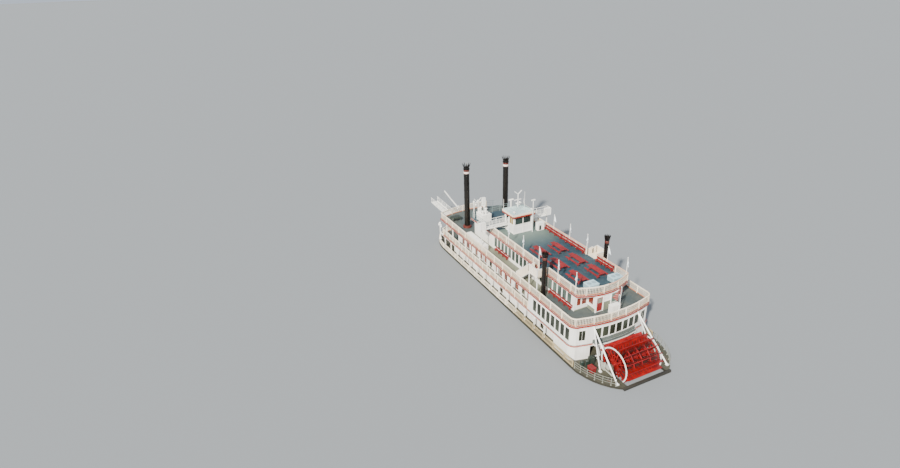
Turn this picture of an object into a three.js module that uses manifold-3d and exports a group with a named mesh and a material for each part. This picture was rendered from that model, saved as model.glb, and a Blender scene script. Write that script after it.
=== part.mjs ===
// Sternwheel river excursion boat at half size, afloat on a flat-bottomed hull.
// Lengths are the real boat's metres: x forward from amidships, y to port, z up from the hull's bottom.
// The whole boat is scaled at the end to millimetres of the 1:2 model.
import * as THREE from 'three';
import { mergeVertices } from 'three/addons/utils/BufferGeometryUtils.js';
import Module from 'manifold-3d';

const wasm = await Module();
wasm.setup();

// Millimetres of the half-size model in one real metre
const HALF_SIZE_MM = 500;

// Bare gap between pieces that rest on each other
const GAP = 0.001;

// Heights of the waterline and of the four decks' top faces
const DRAFT = 1.4;
const MAIN = DRAFT + 0.35;
const BOILER = DRAFT + 2.56;
const TEXAS = DRAFT + 5.31;
const SUN = DRAFT + 7.81;
const PLATE = 0.24;
const WALL = 0.12;

// Deck plans: half beam, stern face and how far its middle bows aft, corner radius, bow corner and bow middle
const BOILER_PLAN = { half: 6.04, stern: -16.75, sternBow: 0.73, corner: 1.0, bowCorner: 19.6, bowMid: 20.8 };
const TEXAS_PLAN = { half: 6.04, stern: -16.8, sternBow: 0.73, corner: 1.0, bowCorner: 20.0, bowMid: 21.2 };
const SUN_PLAN = { half: 3.98, stern: -14.6, sternBow: 0.85, corner: 0.5, bowCorner: 12.6, bowMid: 13.0 };

// Railings: height, panel and cap
const RAIL_HEIGHT = 1.07;
const RAIL_INSET = 0.07;
const RAIL_PANEL = 0.06;
const RAIL_CAP = 0.14;
const MAIN_RAIL_HEIGHT = 0.85;

// Stern wheel between two arms of the main deck; phase is its first board's angle above forward
const WHEEL = { x: -20.25, z: DRAFT + 1.25, radius: 2.55, half: 2.55, hoop: 2.1 };
const BOARDS = { count: 16, depth: 0.82, thick: 0.07, phase: 0.218 };
const WHEEL_FRAMES = { stations: [-2.44, -1.22, 0, 1.22, 2.44], rim: 1.93, ring: 0.16, hub: 0.5, thick: 0.1 };
const SLOT = { fore: -17.7, half: 2.95, aft: -22.95 };
const SHAFT_RADIUS = 0.18;
const SHAFT_HALF = 3.35;
const BEARING = { near: 2.98, far: 3.28 };

// Landing stage and its boom, which swing on one king post at the bow
const KING = { x: 21.65, y: 1.8, radius: 0.14, top: DRAFT + 6.2 };
const STAGE = { tip: 32.2, rootZ: DRAFT + 2.95, tipZ: DRAFT + 3.36, width: 1.3, rail: 0.95 };
const BOOM = { tip: 27.3, rootZ: DRAFT + 5.8, tipZ: DRAFT + 7.13 };

// Rudders under the raked stern, ahead of the wheel
const RUDDER = { stockX: -16.85, y: 2.3, fore: -16.3, aft: -17.95, foot: 0.12, top: 1.08, thick: 0.14 };
const STERN_RAKE_Z = 1.15;

const { PI, asin, cos, sin } = Math;

function bare(geometry) {
  const copy = geometry.clone();
  copy.deleteAttribute('normal');
  copy.deleteAttribute('uv');
  return mergeVertices(copy, 1e-5);
}

function solid(geometry) {
  const closed = bare(geometry);
  const vertProperties = closed.attributes.position.array;
  const triVerts = new Uint32Array(closed.index.array);
  return new wasm.Manifold(new wasm.Mesh({ numProp: 3, vertProperties, triVerts }));
}

function shell(manifold) {
  const mesh = manifold.getMesh();
  const geometry = new THREE.BufferGeometry();
  geometry.setAttribute('position', new THREE.BufferAttribute(mesh.vertProperties, 3));
  geometry.setIndex(new THREE.BufferAttribute(mesh.triVerts, 1));
  return geometry;
}

function join(...pieces) {
  let whole = solid(pieces[0]);
  for (const piece of pieces.slice(1)) {
    whole = whole.add(solid(piece));
  }
  return shell(whole);
}

function cut(body, ...tools) {
  let rest = solid(body);
  for (const tool of tools) {
    rest = rest.subtract(solid(tool));
  }
  return shell(rest);
}

function common(first, ...others) {
  let rest = solid(first);
  for (const other of others) {
    rest = rest.intersect(solid(other));
  }
  return shell(rest);
}

// Corners rounded to a fine grid, so that faces meant to lie in one plane do
function snapped(geometry) {
  const { array } = geometry.attributes.position;
  array.forEach((value, i) => {
    array[i] = Math.round(value * 8192) / 8192;
  });
  return geometry;
}

// Box between two corners
function block(x0, x1, y0, y1, z0, z1) {
  const box = new THREE.BoxGeometry(x1 - x0, y1 - y0, z1 - z0);
  return snapped(box.translate((x0 + x1) / 2, (y0 + y1) / 2, (z0 + z1) / 2));
}

// Upright round post, which may taper
function post(x, y, z0, z1, radius, topRadius = radius, sides = 8) {
  const pole = new THREE.CylinderGeometry(topRadius, radius, z1 - z0, sides);
  return snapped(pole.rotateX(PI / 2).translate(x, y, (z0 + z1) / 2));
}

// Upright square post
function pillar(x, y, z0, z1, width) {
  return block(x - width / 2, x + width / 2, y - width / 2, y + width / 2, z0, z1);
}

// Round bar across the boat
function axle(x, z, y0, y1, radius, sides = 16) {
  const bar = new THREE.CylinderGeometry(radius, radius, y1 - y0, sides);
  return snapped(bar.translate(x, (y0 + y1) / 2, z));
}

// Square bar between two points
function beam(from, to, width, depth = width) {
  const a = new THREE.Vector3(...from);
  const b = new THREE.Vector3(...to);
  const bar = new THREE.BoxGeometry(width, a.distanceTo(b), depth);
  const way = b.clone().sub(a).normalize();
  bar.applyQuaternion(new THREE.Quaternion().setFromUnitVectors(new THREE.Vector3(0, 1, 0), way));
  const middle = a.add(b).multiplyScalar(0.5);
  return snapped(bar.translate(middle.x, middle.y, middle.z));
}

// Plate over a closed outline of [x, y] points
function plate(outline, z0, z1) {
  const shape = new THREE.Shape(outline.map(([x, y]) => new THREE.Vector2(x, y)));
  const slab = new THREE.ExtrudeGeometry(shape, { depth: z1 - z0, bevelEnabled: false });
  return snapped(slab.translate(0, 0, z0));
}

// Plate over a closed outline of [x, z] points, between two stations across the boat
function cheek(outline, y0, y1) {
  const shape = new THREE.Shape(outline.map(([x, z]) => new THREE.Vector2(x, z)));
  const slab = new THREE.ExtrudeGeometry(shape, { depth: y1 - y0, bevelEnabled: false });
  return snapped(slab.rotateX(PI / 2).translate(0, y1, 0));
}

function both(portSide) {
  return [...portSide, ...portSide.map(([x, y]) => [x, -y]).reverse()];
}

// Outline of an upper deck, drawn in from its edge by an inset
function deckOutline(plan, inset = 0) {
  const half = plan.half - inset;
  const mid = plan.bowMid - inset;
  const sag = plan.bowMid - plan.bowCorner;
  const radius = (half * half + sag * sag) / (2 * sag);
  const swing = asin(half / radius);
  const corner = Math.max(plan.corner - inset, 0.05);
  const stern = plan.stern + inset;
  const port = [];
  const bowSteps = 6;
  for (let i = 0.5; i <= bowSteps; i += 1) {
    const angle = (swing * i) / (bowSteps - 0.5);
    port.push([mid - radius + radius * cos(angle), radius * sin(angle)]);
  }
  const cornerSteps = 4;
  for (let i = 0; i <= cornerSteps; i += 1) {
    const angle = (PI / 2) * (1 + i / cornerSteps);
    port.push([stern + corner + corner * cos(angle), half - corner + corner * sin(angle)]);
  }
  for (const share of [0.8, 0.6, 0.4, 0.2]) {
    port.push([stern - plan.sternBow * (1 - share * share), (half - corner) * share]);
  }
  return both(port);
}

// Wall that follows an upper deck's edge
function band(plan, inset, thickness, z0, z1) {
  return cut(plate(deckOutline(plan, inset), z0, z1), plate(deckOutline(plan, inset + thickness), z0 - 1, z1 + 1));
}

// Port half of the main deck's edge: two arms beside the wheel, straight sides and a round bow
function mainOutline(inset = 0) {
  const arm = [
    [SLOT.aft, 3.5],
    [-22.6, 3.95],
    [-22.0, 4.55],
    [-21.2, 5.15],
    [-20.4, 5.6],
    [-19.5, 5.95],
    [-18.2, 6.3],
    [-16.8, 6.35],
  ].map(([x, y]) => [x, y - inset]);
  const bow = [];
  const bowSteps = 10;
  const fullness = 0.72;
  for (let i = 0; i < bowSteps; i += 1) {
    const angle = (PI / 2) * (1 - i / bowSteps);
    bow.push([17.7 + (6.6 - inset) * cos(angle) ** fullness, (6.35 - inset) * sin(angle) ** fullness]);
  }
  return both([...arm, ...bow, [24.3 - inset, 0.5]]);
}

const boat = new THREE.Group();
boat.scale.setScalar(HALF_SIZE_MM);

function add(name, geometry, colour, roughness = 0.6, metalness = 0) {
  const material = new THREE.MeshStandardMaterial({ color: colour, roughness, metalness });
  const mesh = new THREE.Mesh(geometry, material);
  mesh.name = name;
  boat.add(mesh);
  return mesh;
}

const WHITE = '#f2efe6';
const CREAM = '#e9dfc6';
const FLOOR = '#75808a';
const RED = '#c8322a';
const BLACK = '#26241f';
const GREY = '#8d9088';
const HULL = '#3b3a33';
const SIDES = [['port', 1], ['stbd', -1]];

// Hull: plan, side view and section cut from one another
function hull() {
  const plan = both([
    [SLOT.aft, 3.15],
    [-22.4, 3.8],
    [-21.2, 4.8],
    [-19.4, 5.45],
    [-17.0, 5.75],
    [14.5, 5.75],
    [18.5, 5.1],
    [21.5, 3.6],
    [23.2, 1.6],
    [23.6, 0.2],
  ]);
  const top = MAIN - 0.3 - GAP;
  const side = [
    [SLOT.aft, top],
    [SLOT.aft, STERN_RAKE_Z],
    [-16.3, STERN_RAKE_Z],
    [-13.2, 0],
    [16.0, 0],
    [19.0, 0.25],
    [21.6, 0.75],
    [23.6, top],
  ];
  const bilge = 0.35;
  const section = new THREE.Shape();
  section.moveTo(-5.75 + bilge, 0);
  section.lineTo(5.75 - bilge, 0);
  section.lineTo(5.75, bilge);
  section.lineTo(5.75, top);
  section.lineTo(-5.75, top);
  section.lineTo(-5.75, bilge);
  const length = new THREE.ExtrudeGeometry(section, { depth: 48, bevelEnabled: false });
  length.rotateX(PI / 2).rotateZ(PI / 2).translate(-24, 0, 0);
  const body = common(plate(plan, 0, top), cheek(side, -6, 6), length);
  const slot = block(-24, SLOT.fore, -SLOT.half, SLOT.half, -1, 4);
  const stocks = SIDES.map(([, s]) => post(RUDDER.stockX, s * RUDDER.y, 1.0, 1.4, 0.13, 0.13, 12));
  return cut(body, slot, ...stocks);
}
add('hull', hull(), HULL, 0.7);

// Main deck and its railing
const slotCut = block(-25, SLOT.fore, -SLOT.half, SLOT.half, 0, 9);
add('main_deck', cut(plate(mainOutline(), MAIN - 0.3, MAIN), slotCut), FLOOR, 0.8);

function mainRail() {
  const foot = MAIN + GAP;
  const panel = cut(
    plate(mainOutline(RAIL_INSET), foot, foot + MAIN_RAIL_HEIGHT),
    plate(mainOutline(RAIL_INSET + RAIL_PANEL), foot - 1, foot + 3),
  );
  const cap = cut(
    plate(mainOutline(RAIL_INSET - 0.04), foot + MAIN_RAIL_HEIGHT - 0.07, foot + MAIN_RAIL_HEIGHT),
    plate(mainOutline(RAIL_INSET + 0.1), foot - 1, foot + 3),
  );
  return cut(join(panel, cap), block(-24, -22.5, -5, 5, 0, 9));
}
add('main_rail', mainRail(), CREAM);

// Window or door opening through walls
function opening(x0, x1, y0, y1, sill, head) {
  return block(x0, x1, y0, y1, sill, head);
}

// Evenly spaced stations from one end to the other
function stations(first, last, count) {
  return Array.from({ length: count }, (_, i) => first + ((last - first) * i) / (count - 1));
}

// Main deck house, flush with the deck above at its aft end
const MAIN_HOUSE = { half: 5.2, step: -13.0, front: 16.6 };
function mainHouse() {
  const z0 = MAIN + GAP;
  const z1 = BOILER - PLATE - GAP;
  const outer = (inset) =>
    join(
      common(plate(deckOutline(BOILER_PLAN, 0.12 + inset), z0, z1), block(-20, MAIN_HOUSE.step - inset, -7, 7, 0, 9)),
      block(-15, MAIN_HOUSE.front - inset, -MAIN_HOUSE.half + inset, MAIN_HOUSE.half - inset, z0, z1),
    );
  const walls = cut(outer(0), outer(WALL).translate(0, 0, -0.5), outer(WALL).translate(0, 0, 0.5));
  const doors = SIDES.map(([, s]) => opening(-18, -16.5, s * 2.9 - 0.6, s * 2.9 + 0.6, MAIN + 0.1, MAIN + 1.75));
  const sideDoors = [];
  for (const x of [-9.5, 1.0, 11.0]) {
    sideDoors.push(opening(x - 0.5, x + 0.5, -6, 6, MAIN + 0.1, MAIN + 1.75));
  }
  const ports = stations(-7.5, 15.0, 11).map((x) => opening(x - 0.3, x + 0.3, -6, 6, MAIN + 1.0, MAIN + 1.6));
  return cut(walls, ...doors, ...sideDoors, ...ports);
}
add('main_house', mainHouse(), WHITE);
add('engine_block', block(-12.0, -8.0, -1.2, 1.2, MAIN + GAP, MAIN + 1.6), GREY, 0.5, 0.4);

// Upper deck plate with the posts that hold its edge
function deckWithPosts(plan, top, postFoot, postStations, inset) {
  const slab = plate(deckOutline(plan), top - PLATE, top);
  const posts = postStations.flatMap((x) =>
    SIDES.map(([, s]) => pillar(x, s * (plan.half - inset), postFoot + GAP, top - PLATE + 0.02, 0.14)),
  );
  return { slab, posts };
}

// Collar on a deck's front edge that steadies the king post
function kingCollar(top) {
  const arm = block(KING.x - 1.6, KING.x, KING.y - 0.2, KING.y + 0.2, top - PLATE, top - 0.05);
  const ring = post(KING.x, KING.y, top - PLATE, top - 0.05, 0.32, 0.32, 16);
  return [arm, ring];
}
const kingHole = post(KING.x, KING.y, 0, 12, KING.radius + 0.025, KING.radius + 0.025, 16);

function boilerDeck() {
  const { slab, posts } = deckWithPosts(BOILER_PLAN, BOILER, MAIN, stations(-11.0, 18.6, 14), 0.12);
  const shelfEdge = both([[-16.5, 3.2], [-17.5, 3.2], [-17.75, 1.6], [-17.8, 0.2]]);
  const shelf = plate(shelfEdge, BOILER - PLATE, BOILER - 0.04);
  return cut(join(slab, shelf, ...posts, ...kingCollar(BOILER)), kingHole);
}
add('boiler_deck', boilerDeck(), FLOOR, 0.8);

// Boiler deck saloons: a forward one inside the promenades, and an aft one flush with the deck's edge
const BOILER_HOUSE = { half: 4.7, step: -7.2, front: 15.6, foot: BOILER + GAP, top: TEXAS - PLATE - GAP };
const SALOON_DOOR = { sill: BOILER + 0.1, head: BOILER + 2.05 };
const SALOON_LIGHT = { sill: BOILER + 0.65, head: BOILER + 2.05 };
const STERN_LIGHT = { sill: BOILER + 0.72, head: BOILER + 1.78 };
function foreSaloon() {
  const { half, step, front, foot, top } = BOILER_HOUSE;
  const walls = cut(
    block(step + GAP, front, -half, half, foot, top),
    block(step - 1, front - WALL, -half + WALL, half - WALL, foot - 1, top + 1),
  );
  const { sill, head } = SALOON_LIGHT;
  const lights = stations(-5.5, 14.0, 14).map((x) => opening(x - 0.35, x + 0.35, -7, 7, sill, head));
  const frontDoor = opening(front - 1, front + 1, -0.7, 0.7, SALOON_DOOR.sill, SALOON_DOOR.head);
  const sideDoors = [-4.0, 5.0].map((x) => opening(x - 0.45, x + 0.45, -7, 7, SALOON_DOOR.sill, SALOON_DOOR.head));
  return cut(walls, ...lights, frontDoor, ...sideDoors);
}
function aftSaloon() {
  const { step, foot, top } = BOILER_HOUSE;
  const outer = (inset, z0, z1) =>
    common(plate(deckOutline(BOILER_PLAN, 0.1 + inset), z0, z1), block(-20, step - inset, -7, 7, 0, 9));
  const walls = cut(outer(0, foot, top), outer(WALL, foot - 1, top + 1));
  const { sill, head } = SALOON_LIGHT;
  const lights = stations(-8.7, -15.6, 8).map((x) => opening(x - 0.34, x + 0.34, -7, 7, sill, head));
  const sternLights = [4.66, ...stations(2.6, -3.4, 7), -4.66].map((y) =>
    opening(-18, -16, y - 0.36, y + 0.36, STERN_LIGHT.sill, STERN_LIGHT.head),
  );
  const across = [[-5.8, -4.85], [-1.6, 1.6], [4.85, 5.8]].map(([y0, y1]) =>
    opening(step - 1, step + 1, y0, y1, SALOON_DOOR.sill, SALOON_DOOR.head),
  );
  return cut(walls, ...lights, ...sternLights, ...across);
}
add('boiler_house', foreSaloon(), WHITE);
add('boiler_house_aft', aftSaloon(), WHITE);

// Railing along an upper deck's edge
function railing(plan, top) {
  const foot = top + GAP;
  const panel = band(plan, RAIL_INSET, RAIL_PANEL, foot, foot + RAIL_HEIGHT);
  const cap = band(plan, RAIL_INSET - 0.04, RAIL_CAP, foot + RAIL_HEIGHT - 0.07, foot + RAIL_HEIGHT);
  return join(panel, cap);
}
add('boiler_rail', common(railing(BOILER_PLAN, BOILER), block(BOILER_HOUSE.step + 0.02, 25, -7, 7, 0, 9)), CREAM);

function texasDeck() {
  const { slab, posts } = deckWithPosts(TEXAS_PLAN, TEXAS, BOILER, stations(-5.2, 18.2, 11), 0.28);
  return cut(join(slab, ...posts, ...kingCollar(TEXAS)), kingHole);
}
add('texas_deck', texasDeck(), FLOOR, 0.8);
add('texas_rail', railing(TEXAS_PLAN, TEXAS), CREAM);

// Texas cabin under the sun deck, with a bay at its stern that has the door and windows
const TEXAS_HOUSE = { half: 3.75, front: 11.8, aft: -13.85 };
const BAY = { aft: -15.3, port: 1.75, stbd: -1.95 };
const TEXAS_DOOR = { y0: 0.68, y1: 1.55, sill: TEXAS + 0.06, head: TEXAS + 2.0 };
function texasHouse() {
  const z0 = TEXAS + GAP;
  const z1 = SUN - PLATE - GAP;
  const { half, front, aft } = TEXAS_HOUSE;
  const outer = (inset, foot, top) =>
    join(
      block(aft + inset, front - inset, -half + inset, half - inset, foot, top),
      block(BAY.aft + inset, aft + 1, BAY.stbd + inset, BAY.port - inset, foot, top),
    );
  const walls = cut(outer(0, z0, z1), outer(WALL, z0 - 1, z1 + 1));
  const sill = TEXAS + 0.55;
  const head = TEXAS + 2.05;
  const rows = stations(-12.8, 5.1, 19).map((x) => opening(x - 0.34, x + 0.34, -5, 5, sill, head));
  const aftLights = [[1.98, 2.65], [2.85, 3.4], [-2.85, -2.2], [-3.4, -3.0]].map(([y0, y1]) =>
    opening(aft - 0.3, aft + 0.4, y0, y1, TEXAS + 0.7, head),
  );
  const bayLight = opening(BAY.aft - 1, BAY.aft + 0.4, -1.75, -0.65, TEXAS + 0.8, head);
  const bayPort = opening(-14.85, -14.05, BAY.port - 0.4, BAY.port + 0.4, TEXAS + 0.9, head);
  const door = opening(BAY.aft - 1, BAY.aft + 0.4, TEXAS_DOOR.y0, TEXAS_DOOR.y1, TEXAS_DOOR.sill, TEXAS_DOOR.head);
  return cut(walls, ...rows, ...aftLights, bayLight, bayPort, door);
}
add('texas_house', texasHouse(), WHITE);

// Door leaf, set a little inside the wall's outer face with an even gap round it
const LEAF = { gap: 0.012, set: 0.02, thick: 0.05 };
add(
  'texas_door',
  block(
    BAY.aft + LEAF.set,
    BAY.aft + LEAF.set + LEAF.thick,
    TEXAS_DOOR.y0 + LEAF.gap,
    TEXAS_DOOR.y1 - LEAF.gap,
    TEXAS_DOOR.sill + LEAF.gap,
    TEXAS_DOOR.head - LEAF.gap,
  ),
  RED,
);

// Flagstaff inside the texas deck's stern railing
add('stern_staff', post(-17.26, -0.15, TEXAS + GAP, DRAFT + 9.5, 0.06, 0.045), WHITE);

// Lockers and benches of the texas deck
add('stern_locker', block(-16.55, -15.95, -1.05, 0.25, TEXAS + GAP, TEXAS + 1.1), WHITE);
for (const [side, s] of SIDES) {
  const locker = block(5.3, 10.9, s > 0 ? 4.9 : -5.7, s > 0 ? 5.7 : -4.9, TEXAS + GAP, TEXAS + 1.0);
  add(`locker_${side}`, locker, WHITE);
  const near = s > 0 ? [3.76, 4.2] : [-4.2, -3.76];
  const benches = [];
  for (const [x0, x1] of [[1.2, 4.9], [-13.6, -8.9]]) {
    const seat = block(x0, x1, near[0], near[1], TEXAS + 0.38, TEXAS + 0.46);
    const back = block(x0, x1, s > 0 ? 3.76 : -3.84, s > 0 ? 3.84 : -3.76, TEXAS + 0.38, TEXAS + 0.75);
    const legs = stations(x0 + 0.3, x1 - 0.3, 4).map((x) =>
      block(x - 0.05, x + 0.05, near[0], near[1], TEXAS + GAP, TEXAS + 0.4),
    );
    benches.push(join(seat, back, ...legs));
  }
  add(`bench_fore_${side}`, benches[0], RED);
  add(`bench_aft_${side}`, benches[1], RED);
}

// Pilothouse and the walkways out from its doors: faces, middle, floor and the outer end's shelter
const PILOT = { aft: 3.9, front: 6.4, half: 1.55, middle: -0.15, head: 3.0 };
const WING = { aft: 5.35, fore: 6.35, end: 6.2, floor: SUN + 1.2, thick: 0.12 };
const SHELTER = { aft: 5.35, fore: 5.95, near: 5.3, head: SUN + 2.1 };

// Sun deck, its railing with gates for the stair wings, and the flagpoles on it
add('sun_deck', plate(deckOutline(SUN_PLAN), SUN - PLATE, SUN), FLOOR, 0.8);
const GATE = { aft: -8.4, fore: -6.4 };
const POLE_HEIGHT = 3.1;
function flagpole(x, y) {
  return post(x, y, SUN + 0.2, SUN + POLE_HEIGHT, 0.05, 0.035, 4);
}
function sunRail(from, to, poleStations) {
  const part = common(railing(SUN_PLAN, SUN), block(from, to, -5, 5, 0, 12));
  const poles = poleStations.flatMap((x) => SIDES.map(([, s]) => flagpole(x, s * (SUN_PLAN.half - 0.1))));
  return join(part, ...poles);
}
add('sun_rail_fore', sunRail(GATE.fore, 14, [-6.3, -2.5, 1.3]), CREAM);
add('sun_rail_aft', sunRail(-16, GATE.aft, [-10.45, -14.0]), CREAM);

// Stair wing outboard of each gate: landing, stair down to the texas deck and its side panels
function stairWing(s) {
  const y = (a, b) => (s > 0 ? [a, b] : [-b, -a]);
  const [in0, out0] = y(4.0, 5.6);
  const landing = block(GATE.aft, GATE.fore, in0, out0, SUN - 0.12, SUN);
  const foot = -3.7;
  const flight = [
    [GATE.fore - 0.3, SUN],
    [foot - 0.1, TEXAS + 0.15],
    [foot - 0.1, TEXAS + GAP],
    [foot - 0.45, TEXAS + GAP],
    [GATE.fore - 0.3, SUN - 0.35],
  ];
  const [st0, st1] = y(4.7, 5.5);
  const treads = cheek(flight, st0, st1);
  const panel = [
    [GATE.fore - 0.1, SUN + RAIL_HEIGHT],
    [foot + 0.1, TEXAS + RAIL_HEIGHT],
    [foot + 0.1, TEXAS + 0.05],
    [foot - 0.35, TEXAS + 0.05],
    [GATE.fore - 0.1, SUN - 0.3],
  ];
  const outer = cheek(panel, ...y(5.5, 5.56));
  const inner = cheek(panel, ...y(4.64, 4.7));
  const back = block(GATE.aft, GATE.fore, ...y(5.5, 5.56), SUN - 0.06, SUN + RAIL_HEIGHT);
  const aftPanel = block(GATE.aft, GATE.aft + 0.06, ...y(4.05, 5.56), SUN - 0.06, SUN + RAIL_HEIGHT);
  const legs = [GATE.aft + 0.1, GATE.fore - 0.1].map((x) => post(x, s * 5.45, TEXAS + GAP, SUN - 0.06, 0.07));
  return join(landing, treads, outer, inner, back, aftPanel, ...legs);
}
for (const [side, s] of SIDES) {
  add(`stair_wing_${side}`, stairWing(s), CREAM);
}

// Sun deck furniture: long tables in two rows and benches along the railings
function table(x, y) {
  const half = 1.4;
  const top = block(x - half, x + half, y - 0.36, y + 0.36, SUN + 0.68, SUN + 0.74);
  const pieces = [top];
  for (const s of [-1, 1]) {
    pieces.push(block(x - half, x + half, y + s * 0.72 - 0.14, y + s * 0.72 + 0.14, SUN + 0.4, SUN + 0.46));
  }
  for (const dx of [-0.95, 0.95]) {
    pieces.push(block(x + dx - 0.05, x + dx + 0.05, y - 0.84, y + 0.84, SUN + 0.33, SUN + 0.41));
    pieces.push(block(x + dx - 0.04, x + dx + 0.04, y - 0.1, y + 0.1, SUN + 0.005, SUN + 0.7));
  }
  return join(...pieces);
}
const TABLE_ROWS = { port: [[-3.3, 1.6], [-7.4, 1.6], [-11.3, 1.5]], stbd: [[-3.5, -1.2], [-7.5, -1.3], [-11.2, -1.5]] };
for (const [side, row] of Object.entries(TABLE_ROWS)) {
  const runner = beam([row[0][0], row[0][1], SUN + 0.03], [row[2][0], row[2][1], SUN + 0.03], 0.12, 0.05);
  add(`tables_${side}`, join(runner, ...row.map(([x, y]) => table(x, y))), RED);
}

for (const [side, s] of SIDES) {
  const spans = [[-6.2, 3.2], [-12.0, -8.6]];
  spans.forEach(([x0, x1], i) => {
    const y0 = s > 0 ? 3.35 : -3.79;
    const seat = block(x0, x1, y0, y0 + 0.44, SUN + 0.4, SUN + 0.47);
    const backY = s > 0 ? 3.73 : -3.79;
    const back = block(x0, x1, backY, backY + 0.06, SUN + 0.4, SUN + 0.95);
    const legs = stations(x0 + 0.2, x1 - 0.2, i === 0 ? 6 : 3).map((x) =>
      block(x - 0.05, x + 0.05, y0, y0 + 0.44, SUN + GAP, SUN + 0.42),
    );
    add(`rail_bench_${i + 1}_${side}`, join(seat, back, ...legs), RED);
  });
  const unit = block(-14.25, -13.1, s > 0 ? 0.5 : -3.2, s > 0 ? 2.0 : -1.7, SUN + GAP, SUN + 0.75);
  add(`air_unit_${side}`, unit, '#b9ccd4', 0.5);
}

// Pilothouse: tall walls with a band of windows, hipped roof
function pilothouse() {
  const { aft, front, half, middle, head } = PILOT;
  const stbd = middle - half;
  const port = middle + half;
  const walls = cut(
    block(aft, front, stbd, port, SUN + GAP, SUN + head),
    block(aft + WALL, front - WALL, stbd + WALL, port - WALL, SUN - 1, SUN + head + 1),
  );
  const sill = SUN + 1.55;
  const top = SUN + 2.75;
  const across = [-0.7, 0.7].map((offset) => {
    const y = middle + offset;
    return opening(aft - 1, front + 1, y - 0.63, y + 0.63, sill, top);
  });
  const along = opening(4.2, 5.0, -3, 3, sill, top);
  const wingDoors = opening(WING.aft + 0.1, WING.fore - 0.15, -3, 3, WING.floor + 0.02, top);
  return cut(walls, ...across, along, wingDoors);
}
add('pilothouse', pilothouse(), WHITE);

function pilotRoof() {
  const z = SUN + PILOT.head + GAP;
  const over = 0.32;
  const x0 = PILOT.aft - over;
  const x1 = PILOT.front + over;
  const y = PILOT.half + over;
  const eave = block(x0, x1, PILOT.middle - y, PILOT.middle + y, z, z + 0.2);
  const hip = new THREE.CylinderGeometry(0.25, 1, 0.55, 4);
  hip.rotateY(PI / 4).rotateX(PI / 2);
  hip.scale((x1 - x0) / 2 / cos(PI / 4), y / cos(PI / 4), 1);
  hip.translate((x0 + x1) / 2, PILOT.middle, z + 0.2 + 0.275 - 0.01);
  return join(eave, hip);
}
add('pilothouse_roof', pilotRoof(), '#cfd6d2');

function pilotMast() {
  const x = 5.15;
  const foot = SUN + PILOT.head + 0.745;
  const head = DRAFT + 13.6;
  const pole = post(x, 0, foot, head, 0.09, 0.06);
  const cross = beam([x, -0.55, head - 0.9], [x, 0.65, head - 0.9], 0.1);
  const horns = [-1, 1].map((s) => beam([x, 0, head - 0.05], [x, s * 0.6, head + 0.45], 0.1));
  return join(pole, cross, ...horns);
}
add('pilot_mast', pilotMast(), WHITE);

function lookoutPost() {
  const x = 3.42;
  const y = -1.55;
  const head = DRAFT + 12.85;
  return join(post(x, y, SUN + GAP, head, 0.06), block(x - 0.1, x + 0.1, y - 0.3, y + 0.3, head - 0.02, head + 0.14));
}
add('radar_post', lookoutPost(), WHITE);

// Bridge wings: walkway, railings, shelter at the outer end and its post
function bridgeWing(s) {
  const y = (a, b) => (s > 0 ? [a, b] : [-b, -a]);
  const { aft, fore, end, floor, thick } = WING;
  const near = PILOT.half + s * PILOT.middle + GAP;
  const deck = block(aft, fore, ...y(near, end), floor - thick, floor);
  const box = block(SHELTER.aft, SHELTER.fore, ...y(SHELTER.near, end), floor - 0.02, SHELTER.head);
  const rails = [];
  for (const x of [aft, fore - 0.05]) {
    for (const h of [0.3, 0.63, 0.97]) {
      rails.push(block(x, x + 0.05, ...y(near, end), floor + h, floor + h + 0.05));
    }
    for (const at of [1.8, 3.0, 4.15, end - 0.05]) {
      rails.push(block(x, x + 0.05, ...y(at, at + 0.05), floor - 0.02, floor + 1.0));
    }
  }
  const leg = pillar((aft + fore) / 2, s * 5.79, TEXAS + GAP, floor - thick + 0.02, 0.12);
  return join(deck, box, ...rails, leg);
}
for (const [side, s] of SIDES) {
  add(`bridge_wing_${side}`, bridgeWing(s), WHITE);
}

// Vent house, signal frame and pipes on the sun deck ahead of the pilothouse
function ventHouse() {
  const base = block(9.9, 11.85, 1.8, 3.4, SUN + GAP, SUN + 1.15);
  const pipes = [[10.2, 2.6, 2.1], [11.5, 2.2, 1.9], [10.3, 3.1, 1.6], [11.0, 3.1, 2.1], [11.55, 3.1, 1.7]];
  return join(base, ...pipes.map(([x, y, h]) => post(x, y, SUN + 1.0, SUN + h, 0.13)));
}
add('vent_house', ventHouse(), WHITE);

function signalFrame() {
  const x = 12.2;
  const foot = SUN + GAP;
  const bar = SUN + 2.6;
  const legs = [2.9, 3.65].map((y) => post(x, y, foot, bar, 0.06));
  const cross = beam([x, 1.9, bar], [x, 3.85, bar], 0.1);
  const brace = beam([x, 1.1, foot + 0.06], [x, 2.2, bar], 0.07);
  const box = block(x - 0.22, x + 0.22, 1.65, 2.2, bar - 0.8, bar + 0.55);
  const horns = [-1, 1].map((s) => beam([x, 3.0, bar], [x, 3.0 + s * 0.6, bar + 0.65], 0.09));
  return join(...legs, cross, brace, box, ...horns);
}
add('signal_frame', signalFrame(), WHITE);

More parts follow.
